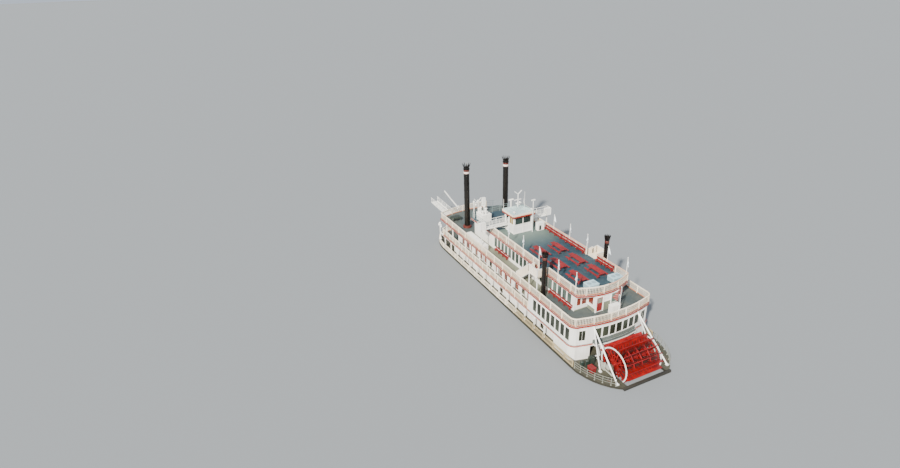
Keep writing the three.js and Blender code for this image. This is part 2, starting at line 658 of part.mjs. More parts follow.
// Stacks: two tall ones forward with flared crowns, two short ones aft
function frontStack(s) {
  const profile = [
    [0.0, 0.0],
    [0.72, 0.0],
    [0.72, 0.3],
    [0.45, 0.36],
    [0.45, 9.9],
    [0.5, 9.95],
    [0.48, 10.35],
    [0.72, 10.9],
    [0.0, 10.9],
  ];
  const tube = new THREE.LatheGeometry(profile.map(([r, h]) => new THREE.Vector2(r, h)), 16);
  return tube.rotateX(PI / 2).translate(14.7, s * 3.6, TEXAS + GAP);
}
function aftStack(s) {
  const profile = [
    [0.0, 0.0],
    [0.4, 0.0],
    [0.4, 0.12],
    [0.3, 0.15],
    [0.3, 5.55],
    [0.42, 6.0],
    [0.42, 6.3],
    [0.0, 6.3],
  ];
  const tube = new THREE.LatheGeometry(profile.map(([r, h]) => new THREE.Vector2(r, h)), 14);
  return tube.rotateX(PI / 2).translate(-8.95, s * 4.9, TEXAS + GAP);
}
for (const [side, s] of SIDES) {
  add(`front_stack_${side}`, frontStack(s), BLACK, 0.5);
  add(`aft_stack_${side}`, aftStack(s), BLACK, 0.5);
}

// Stern: cross beam, braces, wheel bearings
add('stern_beam', block(SLOT.aft - 0.3, SLOT.aft - GAP, -3.5, 3.5, MAIN - 0.3, MAIN), '#2c2b28');

// Two struts from under the texas deck's edge to feet on the main deck's arm
const STRUT = { top: [-17.2, 3.36], long: [-22.3, 3.75], short: [-19.64, 3.97] };
function sternBrace(s) {
  const head = TEXAS - PLATE - GAP;
  const [x, y] = STRUT.top;
  const pieces = [block(x - 0.1, x + 0.1, s * y - 0.1, s * y + 0.1, head - 0.25, head)];
  for (const [footX, footY, width] of [[...STRUT.long, 0.15], [...STRUT.short, 0.13]]) {
    pieces.push(beam([x, s * y, head - 0.15], [footX, s * footY, MAIN + 0.08], width));
    pieces.push(block(footX - 0.16, footX + 0.16, s * footY - 0.14, s * footY + 0.14, MAIN + GAP, MAIN + 0.14));
  }
  return common(join(...pieces), block(-24, -16, -6, 6, MAIN + GAP, head));
}
function bearing(s) {
  const profile = [
    [WHEEL.x - 0.7, MAIN + GAP],
    [WHEEL.x + 0.7, MAIN + GAP],
    [WHEEL.x + 0.32, WHEEL.z + 0.3],
    [WHEEL.x - 0.32, WHEEL.z + 0.3],
  ];
  const y = s > 0 ? [BEARING.near, BEARING.far] : [-BEARING.far, -BEARING.near];
  return cut(cheek(profile, ...y), axle(WHEEL.x, WHEEL.z, -5, 5, SHAFT_RADIUS + 0.015));
}
for (const [side, s] of SIDES) {
  add(`stern_brace_${side}`, sternBrace(s), WHITE);
  add(`wheel_bearing_${side}`, bearing(s), GREY, 0.5, 0.4);
}

// Stern wheel: shaft, spoked frames with a spoke behind each board, and the boards
function paddleWheel() {
  const { x, z, radius, half } = WHEEL;
  const { count, depth, thick, phase } = BOARDS;
  const { rim, ring, hub } = WHEEL_FRAMES;
  const step = (2 * PI) / count;
  const polar = (length, angle) => new THREE.Vector2(length * cos(angle), length * sin(angle));
  const frame = new THREE.Shape(Array.from({ length: count }, (_, i) => polar(rim, phase + i * step)));
  for (let i = 0; i < count; i += 1) {
    const from = phase + i * step;
    const to = from + step;
    const outside = [polar(rim - ring, from + 0.04), polar(rim - ring, to - 0.04)];
    const inside = [polar(hub, to - 0.09), polar(hub, from + 0.09)];
    frame.holes.push(new THREE.Path([...outside, ...inside]));
  }
  const frames = WHEEL_FRAMES.stations.map((y) => {
    const disc = new THREE.ExtrudeGeometry(frame, { depth: WHEEL_FRAMES.thick, bevelEnabled: false });
    return disc.rotateX(PI / 2).translate(x, y + WHEEL_FRAMES.thick / 2, z);
  });
  const boards = [];
  for (let i = 0; i < count; i += 1) {
    const board = new THREE.BoxGeometry(depth, 2 * half, thick);
    boards.push(board.translate(radius - depth / 2, 0, 0).rotateY(-phase - i * step).translate(x, 0, z));
  }
  return join(axle(x, z, -SHAFT_HALF, SHAFT_HALF, SHAFT_RADIUS), ...frames, ...boards);
}
add('paddle_wheel', paddleWheel(), RED);

// White hoops against the blades' ends
function wheelHoop(s) {
  const hoop = new THREE.Shape();
  hoop.absarc(0, 0, WHEEL.hoop + 0.07, 0, 2 * PI);
  const open = new THREE.Path();
  open.absarc(0, 0, WHEEL.hoop - 0.07, 0, 2 * PI);
  hoop.holes.push(open);
  const ring = new THREE.ExtrudeGeometry(hoop, { depth: 0.07, bevelEnabled: false, curveSegments: 14 });
  const y = s > 0 ? WHEEL.half + GAP + 0.07 : -WHEEL.half - GAP;
  return ring.rotateX(PI / 2).translate(WHEEL.x, y, WHEEL.z);
}
for (const [side, s] of SIDES) {
  add(`wheel_hoop_${side}`, wheelHoop(s), WHITE);
}

// Rudders with stocks up into the hull
for (const [side, s] of SIDES) {
  const y = s * RUDDER.y;
  const blade = block(RUDDER.aft, RUDDER.fore, y - RUDDER.thick / 2, y + RUDDER.thick / 2, RUDDER.foot, RUDDER.top);
  add(`rudder_${side}`, join(blade, post(RUDDER.stockX, y, 1.0, 1.38, 0.1, 0.1, 12)), GREY, 0.5, 0.4);
}

// King post, boom and landing stage, which swing together
add('king_post', post(KING.x, KING.y, MAIN + 0.012, KING.top, KING.radius, KING.radius * 0.8, 12), WHITE);

function boom() {
  const spar = beam([KING.x + 0.05, KING.y, BOOM.rootZ], [BOOM.tip, KING.y, BOOM.tipZ], 0.16);
  const hole = post(KING.x, KING.y, 0, 12, KING.radius + 0.003, KING.radius + 0.003, 12);
  return cut(join(post(KING.x, KING.y, BOOM.rootZ - 0.15, BOOM.rootZ + 0.15, 0.26, 0.26, 12), spar), hole);
}
add('stage_boom', boom(), WHITE);

function stage() {
  const { tip, rootZ, tipZ, width, rail } = STAGE;
  const root = KING.x + 0.3;
  const lift = (tipZ - rootZ) / (tip - KING.x);
  const at = (x) => rootZ + lift * (x - KING.x);
  const y0 = KING.y - width / 2;
  const y1 = KING.y + width / 2;
  const side = (z0, z1) => [
    [root, at(root) + z0],
    [tip, at(tip) + z0],
    [tip, at(tip) + z1],
    [root, at(root) + z1],
  ];
  const floor = cheek(side(-0.1, 0.0), y0, y1);
  const stringers = [y0, y1 - 0.06].map((y) => cheek(side(-0.14, 0.1), y, y + 0.06));
  const rails = [y0, y1 - 0.05].map((y) => cheek(side(rail - 0.06, rail), y, y + 0.05));
  const posts = [];
  for (const x of stations(root + 0.1, tip - 0.1, 6)) {
    for (const y of [y0, y1 - 0.05]) {
      posts.push(block(x - 0.03, x + 0.03, y, y + 0.05, at(x) - 0.05, at(x) + rail - 0.02));
    }
  }
  const collar = post(KING.x, KING.y, rootZ - 0.12, rootZ + 0.1, 0.36, 0.36, 12);
  const hole = post(KING.x, KING.y, 0, 12, KING.radius + 0.003, KING.radius + 0.003, 12);
  return cut(join(floor, ...stringers, ...rails, ...posts, collar), hole);
}
add('landing_stage', stage(), WHITE);

// Lamp post outboard of the port bow corner
function bowLamp() {
  const x = 19.95;
  const y = 6.2;
  const pole = post(x, y, DRAFT + 1.6, DRAFT + 4.3, 0.09);
  const arm = block(x - 0.5, x + 0.5, y - 0.08, y + 0.08, DRAFT + 4.2, DRAFT + 4.36);
  const ball = new THREE.SphereGeometry(0.25, 10, 8).rotateX(PI / 2).translate(x, y, DRAFT + 1.6);
  const bracket = block(x - 0.9, x, 5.98, y, BOILER + GAP, BOILER + 0.12);
  return join(pole, arm, ball, bracket);
}
add('bow_lamp', bowLamp(), WHITE);

export default boat;
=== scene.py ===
from math import asin, ceil, cos, hypot, pi, radians, sin

import bmesh
import bpy
from mathutils import Matrix, Vector


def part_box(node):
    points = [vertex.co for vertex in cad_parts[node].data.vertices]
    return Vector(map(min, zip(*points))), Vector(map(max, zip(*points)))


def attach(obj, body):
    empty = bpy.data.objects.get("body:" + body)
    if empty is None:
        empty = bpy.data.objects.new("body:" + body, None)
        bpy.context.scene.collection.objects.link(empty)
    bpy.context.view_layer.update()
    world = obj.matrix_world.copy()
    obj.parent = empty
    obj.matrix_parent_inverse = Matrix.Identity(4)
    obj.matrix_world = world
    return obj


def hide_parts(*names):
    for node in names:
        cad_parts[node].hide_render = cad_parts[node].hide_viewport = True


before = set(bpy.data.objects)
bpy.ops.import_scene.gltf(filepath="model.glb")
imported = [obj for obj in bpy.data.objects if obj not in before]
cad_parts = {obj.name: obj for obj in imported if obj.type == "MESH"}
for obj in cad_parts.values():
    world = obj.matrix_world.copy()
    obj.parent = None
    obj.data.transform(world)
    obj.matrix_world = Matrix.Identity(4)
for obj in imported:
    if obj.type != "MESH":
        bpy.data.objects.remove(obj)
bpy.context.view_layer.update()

HALF = 0.5
SIDES = (("port", 1), ("stbd", -1))


def deck_top(node):
    """Height of a packed deck's top in the full-size boat's metres."""
    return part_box(node)[1].z / HALF


MAIN = deck_top("main_deck")
BOILER = deck_top("boiler_deck")
TEXAS = deck_top("texas_deck")
SUN = deck_top("sun_deck")
WATER = MAIN - 0.35
PLATE = 0.24
RAIL_HEIGHT = 1.07
MAIN_RAIL_HEIGHT = 0.85

# Deck plans, as in the solids: half width, stern and its bulge, corner radius, bow at corners and middle
BOILER_PLAN = (6.04, -16.75, 0.73, 1.0, 19.6, 20.8)
TEXAS_PLAN = (6.04, -16.8, 0.73, 1.0, 20.0, 21.2)
SUN_PLAN = (3.98, -14.6, 0.85, 0.5, 12.6, 13.0)

# Houses and gear that several pieces share; the wing's floor is measured over the sun deck
HOUSE_HALF = 3.75
BAY_AFT, BAY_WALL, BAY_PORT, BAY_STBD = -15.3, -13.85, 1.75, -1.95
DOOR_MIDDLE = 1.115
PILOT_AFT, PILOT_FORE, PILOT_HALF, PILOT_MIDDLE = 3.9, 6.4, 1.55, -0.15
WING_AFT, WING_FORE, WING_END, WING_FLOOR = 5.35, 6.35, 6.2, 1.2
WHEEL_X, WHEEL_Z = -20.25, WATER + 1.25

# Camera at the photo's place, fitted to the boat's deck edges, stacks and wheel
CAMERA_PLACE = (-58.173, 40.611, 44.006)
CAMERA_TURN = (-24.875, 25.254, 1.940)
CAMERA_FOCAL = 542.997 / 900


def linked(name, data):
    made = bpy.data.objects.new(name, data)
    bpy.context.scene.collection.objects.link(made)
    return made


def camera():
    yaw, pitch, roll = (radians(a) for a in CAMERA_TURN)
    ahead = Vector((cos(pitch) * cos(yaw), cos(pitch) * sin(yaw), -sin(pitch)))
    level = Vector((sin(yaw), -cos(yaw), 0))
    down = ahead.cross(level)
    right = level * cos(roll) + down * sin(roll)
    up = level * sin(roll) - down * cos(roll)
    data = bpy.data.cameras.new("camera")
    data.sensor_width = 36
    data.lens = CAMERA_FOCAL * data.sensor_width
    data.clip_end = 3000
    eye = linked("camera", data)
    turn = Matrix((right, up, -ahead)).transposed()
    eye.matrix_world = Matrix.Translation(Vector(CAMERA_PLACE) * HALF) @ turn.to_4x4()
    bpy.context.scene.camera = eye


camera()


# Finishes


def linear(colour):
    """Linear colour from a hex string."""
    channels = [int(colour[i : i + 2], 16) / 255 for i in (1, 3, 5)]
    return [c / 12.92 if c < 0.04045 else ((c + 0.055) / 1.055) ** 2.4 for c in channels] + [1.0]


def shader_of(material):
    material.use_nodes = True
    return material.node_tree.nodes["Principled BSDF"]


class Finish:
    """A material built up from noise, seams and bump; scales and lengths are in model metres."""

    def __init__(self, name, colour, roughness=0.5, metallic=0.0, specular=0.5):
        self.material = bpy.data.materials.new(name)
        self.shader = shader_of(self.material)
        self.tree = self.material.node_tree
        inputs = {"Roughness": roughness, "Metallic": metallic, "Specular IOR Level": specular}
        for key, value in inputs.items():
            self.shader.inputs[key].default_value = value
        self.coordinates = self.node("TexCoord", {}, "Object")
        self.colour = self.plain(colour)
        self.height = None

    def node(self, kind, inputs, output=0, **settings):
        made = self.tree.nodes.new("ShaderNode" + kind)
        for key, value in settings.items():
            setattr(made, key, value)
        for key, value in inputs.items():
            self.feed(made.inputs[key], value)
        return made.outputs[output]

    def feed(self, socket, value):
        if isinstance(value, bpy.types.NodeSocket):
            self.tree.links.new(value, socket)
        else:
            socket.default_value = value

    def plain(self, colour):
        rgb = self.node("RGB", {})
        rgb.default_value = linear(colour)
        return rgb

    def axis(self, number, vector=None):
        return self.node("SeparateXYZ", {0: vector or self.coordinates}, number)

    def ramp(self, value, low, high):
        return self.node("MapRange", {"Value": value, "From Min": low, "From Max": high})

    def math(self, operation, a, b):
        return self.node("Math", {0: a, 1: b}, operation=operation)

    def times(self, a, b):
        return self.math("MULTIPLY", a, b)

    def noise(self, scale, detail=3.0, low=0.35, high=0.65):
        scale = scale if isinstance(scale, tuple) else (scale, scale, scale)
        place = self.node("Mapping", {"Vector": self.coordinates, "Scale": scale})
        texture = self.node("TexNoise", {"Vector": place, "Scale": 1.0, "Detail": detail}, "Fac")
        return self.ramp(texture, low, high)

    def blend(self, colour, amount):
        """Mixes a colour into what is there, by a number or a socket."""
        colour = self.plain(colour) if isinstance(colour, str) else colour
        self.colour = self.node("Mix", {"Factor": amount, 6: self.colour, 7: colour}, 2, data_type="RGBA")
        return self

    def mottle(self, colour, scale, amount, detail=3.0):
        return self.blend(colour, self.times(self.noise(scale, detail), amount))

    def raise_by(self, height, amount):
        scaled = self.times(height, amount)
        self.height = scaled if self.height is None else self.math("ADD", self.height, scaled)
        return self

    def grain(self, scale):
        return self.raise_by(self.noise(scale, 4.0, 0.0, 1.0), 1.0)

    def seams(self, axis, pitch, width, colour, amount):
        """Lines square to an axis, sunk into the surface."""
        share = self.math("FRACT", self.math("DIVIDE", self.axis(axis), pitch), 0.0)
        line = self.math("LESS_THAN", share, width / pitch)
        return self.blend(colour, self.times(line, amount)).raise_by(line, -0.4)

    def facing_up(self):
        return self.math("GREATER_THAN", self.axis(2, self.node("NewGeometry", {}, "Normal")), 0.5)

    def above(self, height):
        return self.math("GREATER_THAN", self.axis(2), height)

    def done(self, bump=0.3):
        self.feed(self.shader.inputs["Base Color"], self.colour)
        if self.height is not None:
            relief = {"Strength": bump, "Distance": 0.004, "Height": self.height}
            self.feed(self.shader.inputs["Normal"], self.node("Bump", relief))
        return self.material


# Scales of the noise: uneven patches, rain streaks, brush marks and weave
PATCHES = 1.3
STREAKS = (9.0, 9.0, 0.5)
BRUSHED = (60, 60, 20)
WEAVE = 400


def coat(name, colour, roughness, mottles, grain=None, bump=0.3, metallic=0.0, specular=0.5):
    """A finish of mottles laid over each other: colour, scale, amount and maybe detail."""
    finish = Finish(name, colour, roughness, metallic, specular)
    for mottle in mottles:
        finish.mottle(*mottle)
    if grain:
        finish.grain(grain)
    return finish.done(bump)


def paint(name, colour, shadow, roughness=0.45, streak="#8d8470", streaks=0.12):
    """Brushed gloss paint, a little uneven, with faint rain streaks."""
    mottles = [(shadow, PATCHES, 0.5), (streak, STREAKS, streaks, 2.0)]
    return coat(name, colour, roughness, mottles, BRUSHED, 0.12)


def main_rail_shaded_aft_paint():
    """Cream forward; aft it turns a darker khaki, which is painted shade."""
    finish = Finish("main_rail_shaded_aft_paint", "#b8a882").mottle("#8f805e", PATCHES, 0.5)
    # Aft of this ramp the khaki is painted shade; forward of it the cream is the rail's own paint.
    finish.blend("#f6ead4", finish.ramp(finish.axis(0), -6.0 * HALF, -2.0 * HALF))
    return finish.mottle("#a98a62", STREAKS, 0.18, 2.0).grain(BRUSHED).done(0.12)


def rail_cap_paint():
    """Pale cream, turning pinkish red along the sun deck's starboard benches."""
    finish = Finish("rail_cap_paint", "#fbf1de", 0.45)
    starboard = finish.math("LESS_THAN", finish.axis(1), 0.0)
    aft = finish.math("LESS_THAN", finish.axis(0), 3.4 * HALF)
    # Mask of the pinkish red tint on the caps over the sun deck, to starboard and aft of station 3.4.
    tinted = finish.times(finish.above(SUN * HALF), finish.times(starboard, aft))
    finish.blend("#c98a74", finish.times(tinted, 0.8))
    return finish.mottle("#e6cfa8", PATCHES, 0.5).grain(BRUSHED).done(0.12)


def floor_paint(name, colour, patches, edge, edge_shadow, tinted=None):
    """Deck paint in plates with scuffed patches on floors, another paint on edges, and a paler stretch,
    which on the boiler and texas decks is painted light.
    """
    finish = Finish(name, colour, 0.62)
    for patch in patches:
        finish.mottle(*patch)
    # This stretch's paler tint is painted light on the boiler and texas decks, over walkways that the
    # houses shade.
    if tinted:
        tint, first, full, last = tinted
        x = finish.axis(0)
        before = finish.math("LESS_THAN", x, last * HALF)
        share = finish.times(finish.ramp(x, first * HALF, full * HALF), before)
        finish.blend(tint, finish.times(share, 0.75))
    finish.seams(0, 1.2, 0.012, "#3c4448", 0.5)
    finish.seams(1, 0.75, 0.01, "#3c4448", 0.35).grain(90)
    floor, finish.colour = finish.colour, finish.plain(edge)
    return finish.mottle(edge_shadow, PATCHES, 0.5).blend(floor, finish.facing_up()).done(0.25)


def hull_paint():
    finish = Finish("hull_paint", "#22211a")
    finish.mottle("#36342a", (0.8, 0.8, 2.0), 0.6).mottle("#5c4530", (6.0, 6.0, 0.6), 0.25)
    bottom, finish.colour = finish.plain("#5b2d24"), finish.colour
    below = finish.math("SUBTRACT", 1.0, finish.above(WATER * HALF - 0.03))
    finish.blend(bottom, finish.times(below, 0.9)).mottle("#6d7158", (3.0, 3.0, 8.0), 0.15)
    finish.seams(0, 3.0, 0.012, "#1c1b18", 0.5)
    return finish.seams(2, 0.6, 0.008, "#1c1b18", 0.4).grain(40).done(0.3)


def glass(name, colour, tint, see_through):
    made = coat(name, colour, 0.16, [(tint, (1.1, 1.1, 0.9), 0.8, 1.0)], specular=0.4)
    shader_of(made).inputs["Alpha"].default_value = see_through
    return made


def pennant_cloth():
    made = coat("flag_cloth", "#eef4f6", 0.85, [("#c3d3db", 8, 0.5)], WEAVE, 0.2)
    shader_of(made).inputs["Sheen Weight"].default_value = 0.2
    return made


def ensign_cloth():
    """Faded red cloth with pale stripes along the fly."""
    finish = Finish("ensign_cloth", "#a5483e", 0.85).seams(2, 0.14, 0.05, "#d9b3a6", 0.6)
    return finish.mottle("#4a2420", 3, 0.75).grain(WEAVE).done(0.15)


WHITE = paint("white_paint", "#f4f3ee", "#e2dfd4")
TRIM = paint("trim_paint", "#fbf9f2", "#efebdf", streaks=0.08)
PINK_WHITE = paint("band_paint", "#f3ded6", "#e0c2b8")
GREEN_GREY = paint("panel_paint", "#7d8270", "#656a59")
CREAM = paint("cream_paint", "#f7ebd6", "#ecd8b8", streak="#a98a62", streaks=0.15)
MAIN_RAIL = main_rail_shaded_aft_paint()
RAIL_CAP = rail_cap_paint()
RAIL_FOOT = paint("rail_foot_paint", "#cf8460", "#b56c4b", streak="#7a4630", streaks=0.25)
# Grey-teal on the thin pipe rails at the fore ends of the sun and texas decks is painted shade, for rails
# seen from their shaded inner side.
RAIL_SHADE_TEAL = paint("far_rail_painted_shade", "#7f9495", "#5f7577", streaks=0.2)
RAIL_GREY = paint("pipe_rail_paint", "#9a9d92", "#73776d", streaks=0.3)
STRIPE = paint("stripe_paint", "#972b19", "#7a2317", streaks=0.1)
STRIPE_PALE = paint("pale_stripe_paint", "#a9503e", "#8f4031", streaks=0.1)
PLINTH_RED = paint("plinth_paint", "#5a1a15", "#3a120e", streaks=0.1)
RED = paint("red_paint", "#92201f", "#6b1a1c", 0.5, "#3a1214", 0.4)
DARK_RED = paint("bracket_paint", "#431013", "#260a0e")
ROOF = paint("roof_paint", "#c3d3cf", "#8fa9a8", 0.4, "#5f7a78", 0.4)
AIR = paint("unit_paint", "#b5d2d9", "#8fb3bd", 0.35)
AIR_DARK = paint("louvre_paint", "#8fa9b1", "#708890")
STERN_BOARD_GREY = paint("stern_board_paint", "#5c6a69", "#414c4b", streaks=0.4)
GEAR_GREY = paint("gear_paint", "#b9bcb2", "#8e9187", streaks=0.4)
GREEN_DARK = paint("dark_green_paint", "#1c2c26", "#101b18")
TREAD = paint("tread_paint", "#7d8584", "#5c6362")
SOOT = [("#1b1913", (2.0, 2.0, 0.35), 0.5), ("#32241a", (14.0, 14.0, 1.2), 0.15)]
BLACK = coat("stack_paint", "#0c0c0b", 0.24, SOOT, (30, 30, 8), 0.12)
WET_WOOD = [("#520d10", (2.5, 1.0, 2.5), 0.8), ("#b52a20", (18.0, 1.2, 18.0), 0.3), ("#33121a", 5.0, 0.45)]
WHEEL_RED = coat("wheel_wood", "#961411", 0.34, WET_WOOD, (60, 5, 60), 0.5)
TIMBER = coat("dark_timber", "#211f1b", 0.7, [("#3d392f", (4.0, 0.6, 4.0), 0.7)], (40, 4, 40), 0.5)
IRON = coat("iron", "#565852", 0.5, [("#7b5138", 7.0, 0.5)], 50, metallic=0.3)
STEEL = coat("steel_wire", "#b9b8b0", 0.35, [("#8d8a80", 20, 0.5)], metallic=0.8)
BRASS = coat("brass", "#b79a4c", 0.3, [("#7d6a38", 12, 0.5)], metallic=0.9)
GLASS = glass("window_glass", "#39423e", "#68786f", 0.97)
DARK_GLASS = glass("dark_glass", "#1c2624", "#3e4a46", 0.95)
OLIVE_GLASS = glass("olive_glass", "#262a22", "#454a3d", 0.97)
GREY_GLASS = glass("grey_glass", "#6f766a", "#8d9484", 1.0)
AMBER_GLASS = glass("amber_glass", "#7d6b3c", "#a8904e", 0.97)
RED_GLASS = glass("curtained_glass", "#561f17", "#84402f", 1.0)
FLAG = pennant_cloth()
ENSIGN = ensign_cloth()
HULL = hull_paint()

# Floors: patches, then the paler stretch's tint with the stations where it starts, is full and ends; on the
# deck floor this stretch is painted light, over walkways that the houses shade
DECK_EDGE = ("#f4f2ea", "#d9d4c4")
TEAL_PATCHES = [("#2c4955", 0.5, 0.8), ("#4c5555", 1.4, 0.45), ("#142c37", 3.5, 0.4)]
GREY_PATCHES = [("#4a5554", 0.5, 0.7), ("#65655a", 1.3, 0.4), ("#303a39", 3.5, 0.35)]
OLIVE_PATCHES = [("#48463a", 0.5, 0.7), ("#66614e", 1.3, 0.35), ("#343429", 3.5, 0.4)]
SUN_FLOOR = floor_paint("sun_floor", "#1f3946", TEAL_PATCHES, *DECK_EDGE, ("#6a7a70", -1.5, 2.5, 6.6))
# Its paler stretch from station -9.5 to 12 is painted light, over walkways that the houses shade.
DECK_FLOOR = floor_paint("deck_floor", "#434d4e", GREY_PATCHES, *DECK_EDGE, ("#7f806a", -9.5, -7.0, 12.0))
MAIN_FLOOR = floor_paint("main_floor", "#3b3b2f", OLIVE_PATCHES, "#26241c", "#3d3929")

# The slot of each finish; a piece may name another
SLOTS = {
    "white_paint": (WHITE, TRIM, PINK_WHITE, GREEN_GREY),
    "rail_paint": (CREAM, MAIN_RAIL, RAIL_CAP, RAIL_FOOT, RAIL_SHADE_TEAL),
    "red_paint": (RED, STRIPE, STRIPE_PALE, PLINTH_RED),
    "machine_grey": (IRON, BRASS, DARK_RED, RAIL_GREY, AIR_DARK, STERN_BOARD_GREY, GEAR_GREY, GREEN_DARK),
    "window_glass": (GLASS, DARK_GLASS, OLIVE_GLASS, GREY_GLASS, AMBER_GLASS, RED_GLASS),
    "stack_paint": (BLACK,),
    "wheel_paint": (WHEEL_RED,),
    "roof_paint": (ROOF,),
    "unit_paint": (AIR,),
    "deck_paint": (TREAD,),
    "stay_wire": (STEEL,),
}
SLOT_OF = {finish.name: slot for slot, finishes in SLOTS.items() for finish in finishes}


# Shapes


def circle(count):
    return [(cos(2 * pi * i / count), sin(2 * pi * i / count)) for i in range(count)]


def rectangle(x0, x1, y0, y1):
    return [(x0, y0), (x1, y0), (x1, y1), (x0, y1)]


def across(place, way, along, out):
    """Point at a distance along a level way from a place, and at another to the right of it."""
    return place[0] + way[0] * along + way[1] * out, place[1] + way[1] * along - way[0] * out


class Form:
    """Faces gathered in the full-size boat's metres, with heights over a base."""

    def __init__(self, base):
        self.base = base
        self.points = []
        self.faces = []

    def loft(self, rings):
        """Closed skin over rings that have as many points each."""
        start, n = len(self.points), len(rings[0])
        self.points += [(x, y, z + self.base) for ring in rings for x, y, z in ring]
        end = len(self.points)
        for a in range(start, end - n, n):
            self.faces += [(a + k, a + (k + 1) % n, a + (k + 1) % n + n, a + k + n) for k in range(n)]
        self.faces += [tuple(reversed(range(start, start + n))), tuple(range(end - n, end))]
        return self

    def prism(self, outline, z0, z1, top=None):
        """Upright solid over a level outline, which may change to another one at its top."""
        return self.loft([[(x, y, z0) for x, y in outline], [(x, y, z1) for x, y in top or outline]])

    def box(self, x0, x1, y0, y1, z0, z1):
        return self.prism(rectangle(x0, x1, y0, y1), z0, z1)

    def rim(self, plan, out, z0, z1):
        """Box that stands out by as much on all sides of a level (x0, x1, y0, y1) plan."""
        x0, x1, y0, y1 = plan
        return self.box(x0 - out, x1 + out, y0 - out, y1 + out, z0, z1)

    def post(self, x, y, half, z0, z1, half_y=None):
        """Upright box about a place."""
        half_y = half_y or half
        return self.box(x - half, x + half, y - half_y, y + half_y, z0, z1)

    def bar(self, a, b, width, depth=None, level=(0, 0, 1)):
        """Square bar between two points; depth is measured towards level."""
        a, b = Vector(a), Vector(b)
        along = (b - a).normalized()
        across = along.cross(Vector(level)).normalized()
        w, d = across * width / 2, across.cross(along) * (depth or width) / 2
        return self.loft([[end - w - d, end + w - d, end + w + d, end - w + d] for end in (a, b)])

    def rod(self, a, b, radius, end_radius=None, sides=6):
        a, b = Vector(a), Vector(b)
        along = (b - a).normalized()
        across = along.orthogonal().normalized()
        up = along.cross(across)
        ends = ((a, radius), (b, end_radius or radius))
        return self.loft([[end + (across * c + up * s) * r for c, s in circle(sides)] for end, r in ends])

    def spin(self, profile, x, y, z=0.0, sides=24):
        """Solid of revolution about an upright axis, from (radius, height) pairs from the foot up."""
        return self.loft([[(x + r * c, y + r * s, z + h) for c, s in circle(sides)] for r, h in profile])

    def sweep(self, run, side0, side1, z0, z1):
        """Rectangle swept along a level run, from side0 to side1 to the left of it."""
        rings = []
        for (x, y), (nx, ny) in zip(run, normals(run)):
            rings.append([(x + nx * v, y + ny * v, z) for v, z in rectangle(side0, side1, z0, z1)])
        return self.loft(rings)

    def board(self, outline, place, way, foot, thick):
        """Upright board over an outline: u along a level way from a place, v up from a foot."""
        rings = []
        for t in (-thick / 2, thick / 2):
            points = [(across(place, way, u, t), foot + v) for u, v in outline]
            rings.append([(x, y, z) for (x, y), z in points])
        return self.loft(rings)


def forms(count, base):
    return [Form(base) for _ in range(count)]


def normals(run):
    """Leftward normals of a level run, stretched at bends so that its width stays even."""
    lefts = []
    for (x0, y0), (x1, y1) in zip(run, run[1:]):
        length = hypot(x1 - x0, y1 - y0)
        lefts.append(((y0 - y1) / length, (x1 - x0) / length))
    found = []
    for (ax, ay), (bx, by) in zip(lefts[:1] + lefts, lefts + lefts[-1:]):
        x, y = ax + bx, ay + by
        stretch = max(x * ax + y * ay, 0.3)
        found.append((x / stretch, y / stretch))
    return found


def piece(name, form, finish, body="boat", slot=None, bevel=0.0, smooth=False):
    """Makes one object from a form; it rides on a body."""
    mesh = bpy.data.meshes.new(name)
    mesh.from_pydata([(x * HALF, y * HALF, z * HALF) for x, y, z in form.points], [], form.faces)
    shell = bmesh.new()
    shell.from_mesh(mesh)
    bmesh.ops.recalc_face_normals(shell, faces=shell.faces)
    shell.to_mesh(mesh)
    shell.free()
    mesh.materials.append(finish)
    made = linked(name, mesh)
    if bevel:
        rounding = made.modifiers.new("rounding", "BEVEL")
        rounding.width = bevel * HALF
        rounding.segments = 1
        rounding.limit_method = "ANGLE"
    if smooth:
        mesh.shade_smooth()
        made.modifiers.new("creases", "EDGE_SPLIT").split_angle = radians(40)
    slot = slot or SLOT_OF[finish.name]
    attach(made, body)
    return made


def stations(first, last, count):
    return [first + (last - first) * i / (count - 1) for i in range(count)]


def mirrored(port_half):
    """Closed outline from its port half, which runs from the bow to the stern."""
    return port_half + [(x, -y) for x, y in reversed(port_half)]


def deck_outline(plan, inset=0.0):
    half, stern, bulge, corner, bow_corner, bow_middle = plan
    sag = bow_middle - bow_corner
    half, stern, middle = half - inset, stern + inset, bow_middle - inset
    corner = max(corner - inset, 0.05)
    radius = (half * half + sag * sag) / (2 * sag)
    bow_steps, corner_steps = 14, 8
    port = []
    for i in range(bow_steps):
        angle = asin(half / radius) * (i + 0.5) / (bow_steps - 0.5)
        port.append((middle - radius + radius * cos(angle), radius * sin(angle)))
    for i in range(corner_steps + 1):
        angle = pi / 2 * (1 + i / corner_steps)
        port.append((stern + corner + corner * cos(angle), half - corner + corner * sin(angle)))
    for share in (0.8, 0.6, 0.4, 0.2):
        port.append((stern - bulge * (1 - share * share), (half - corner) * share))
    return mirrored(port)


# Main deck's port edge along its stern arm, and its bow's start, length, half width and roundness
ARM = [(-16.8, 6.35), (-18.2, 6.3), (-19.5, 5.95), (-20.4, 5.6)]
ARM += [(-21.2, 5.15), (-22.0, 4.55), (-22.6, 3.95), (-22.95, 3.5)]
BOW_START, BOW_LENGTH, BOW_HALF, BOW_ROUND, BOW_STEPS = 17.7, 6.6, 6.35, 0.72, 18


def main_outline(inset):
    port = [(BOW_START + BOW_LENGTH - inset, 0.5)]
    for i in range(BOW_STEPS - 1, -1, -1):
        angle = pi / 2 * (1 - i / BOW_STEPS)
        x = BOW_START + (BOW_LENGTH - inset) * cos(angle) ** BOW_ROUND
        port.append((x, (BOW_HALF - inset) * sin(angle) ** BOW_ROUND))
    return mirrored(port + [(x, y - inset) for x, y in ARM])


STEP = 0.3


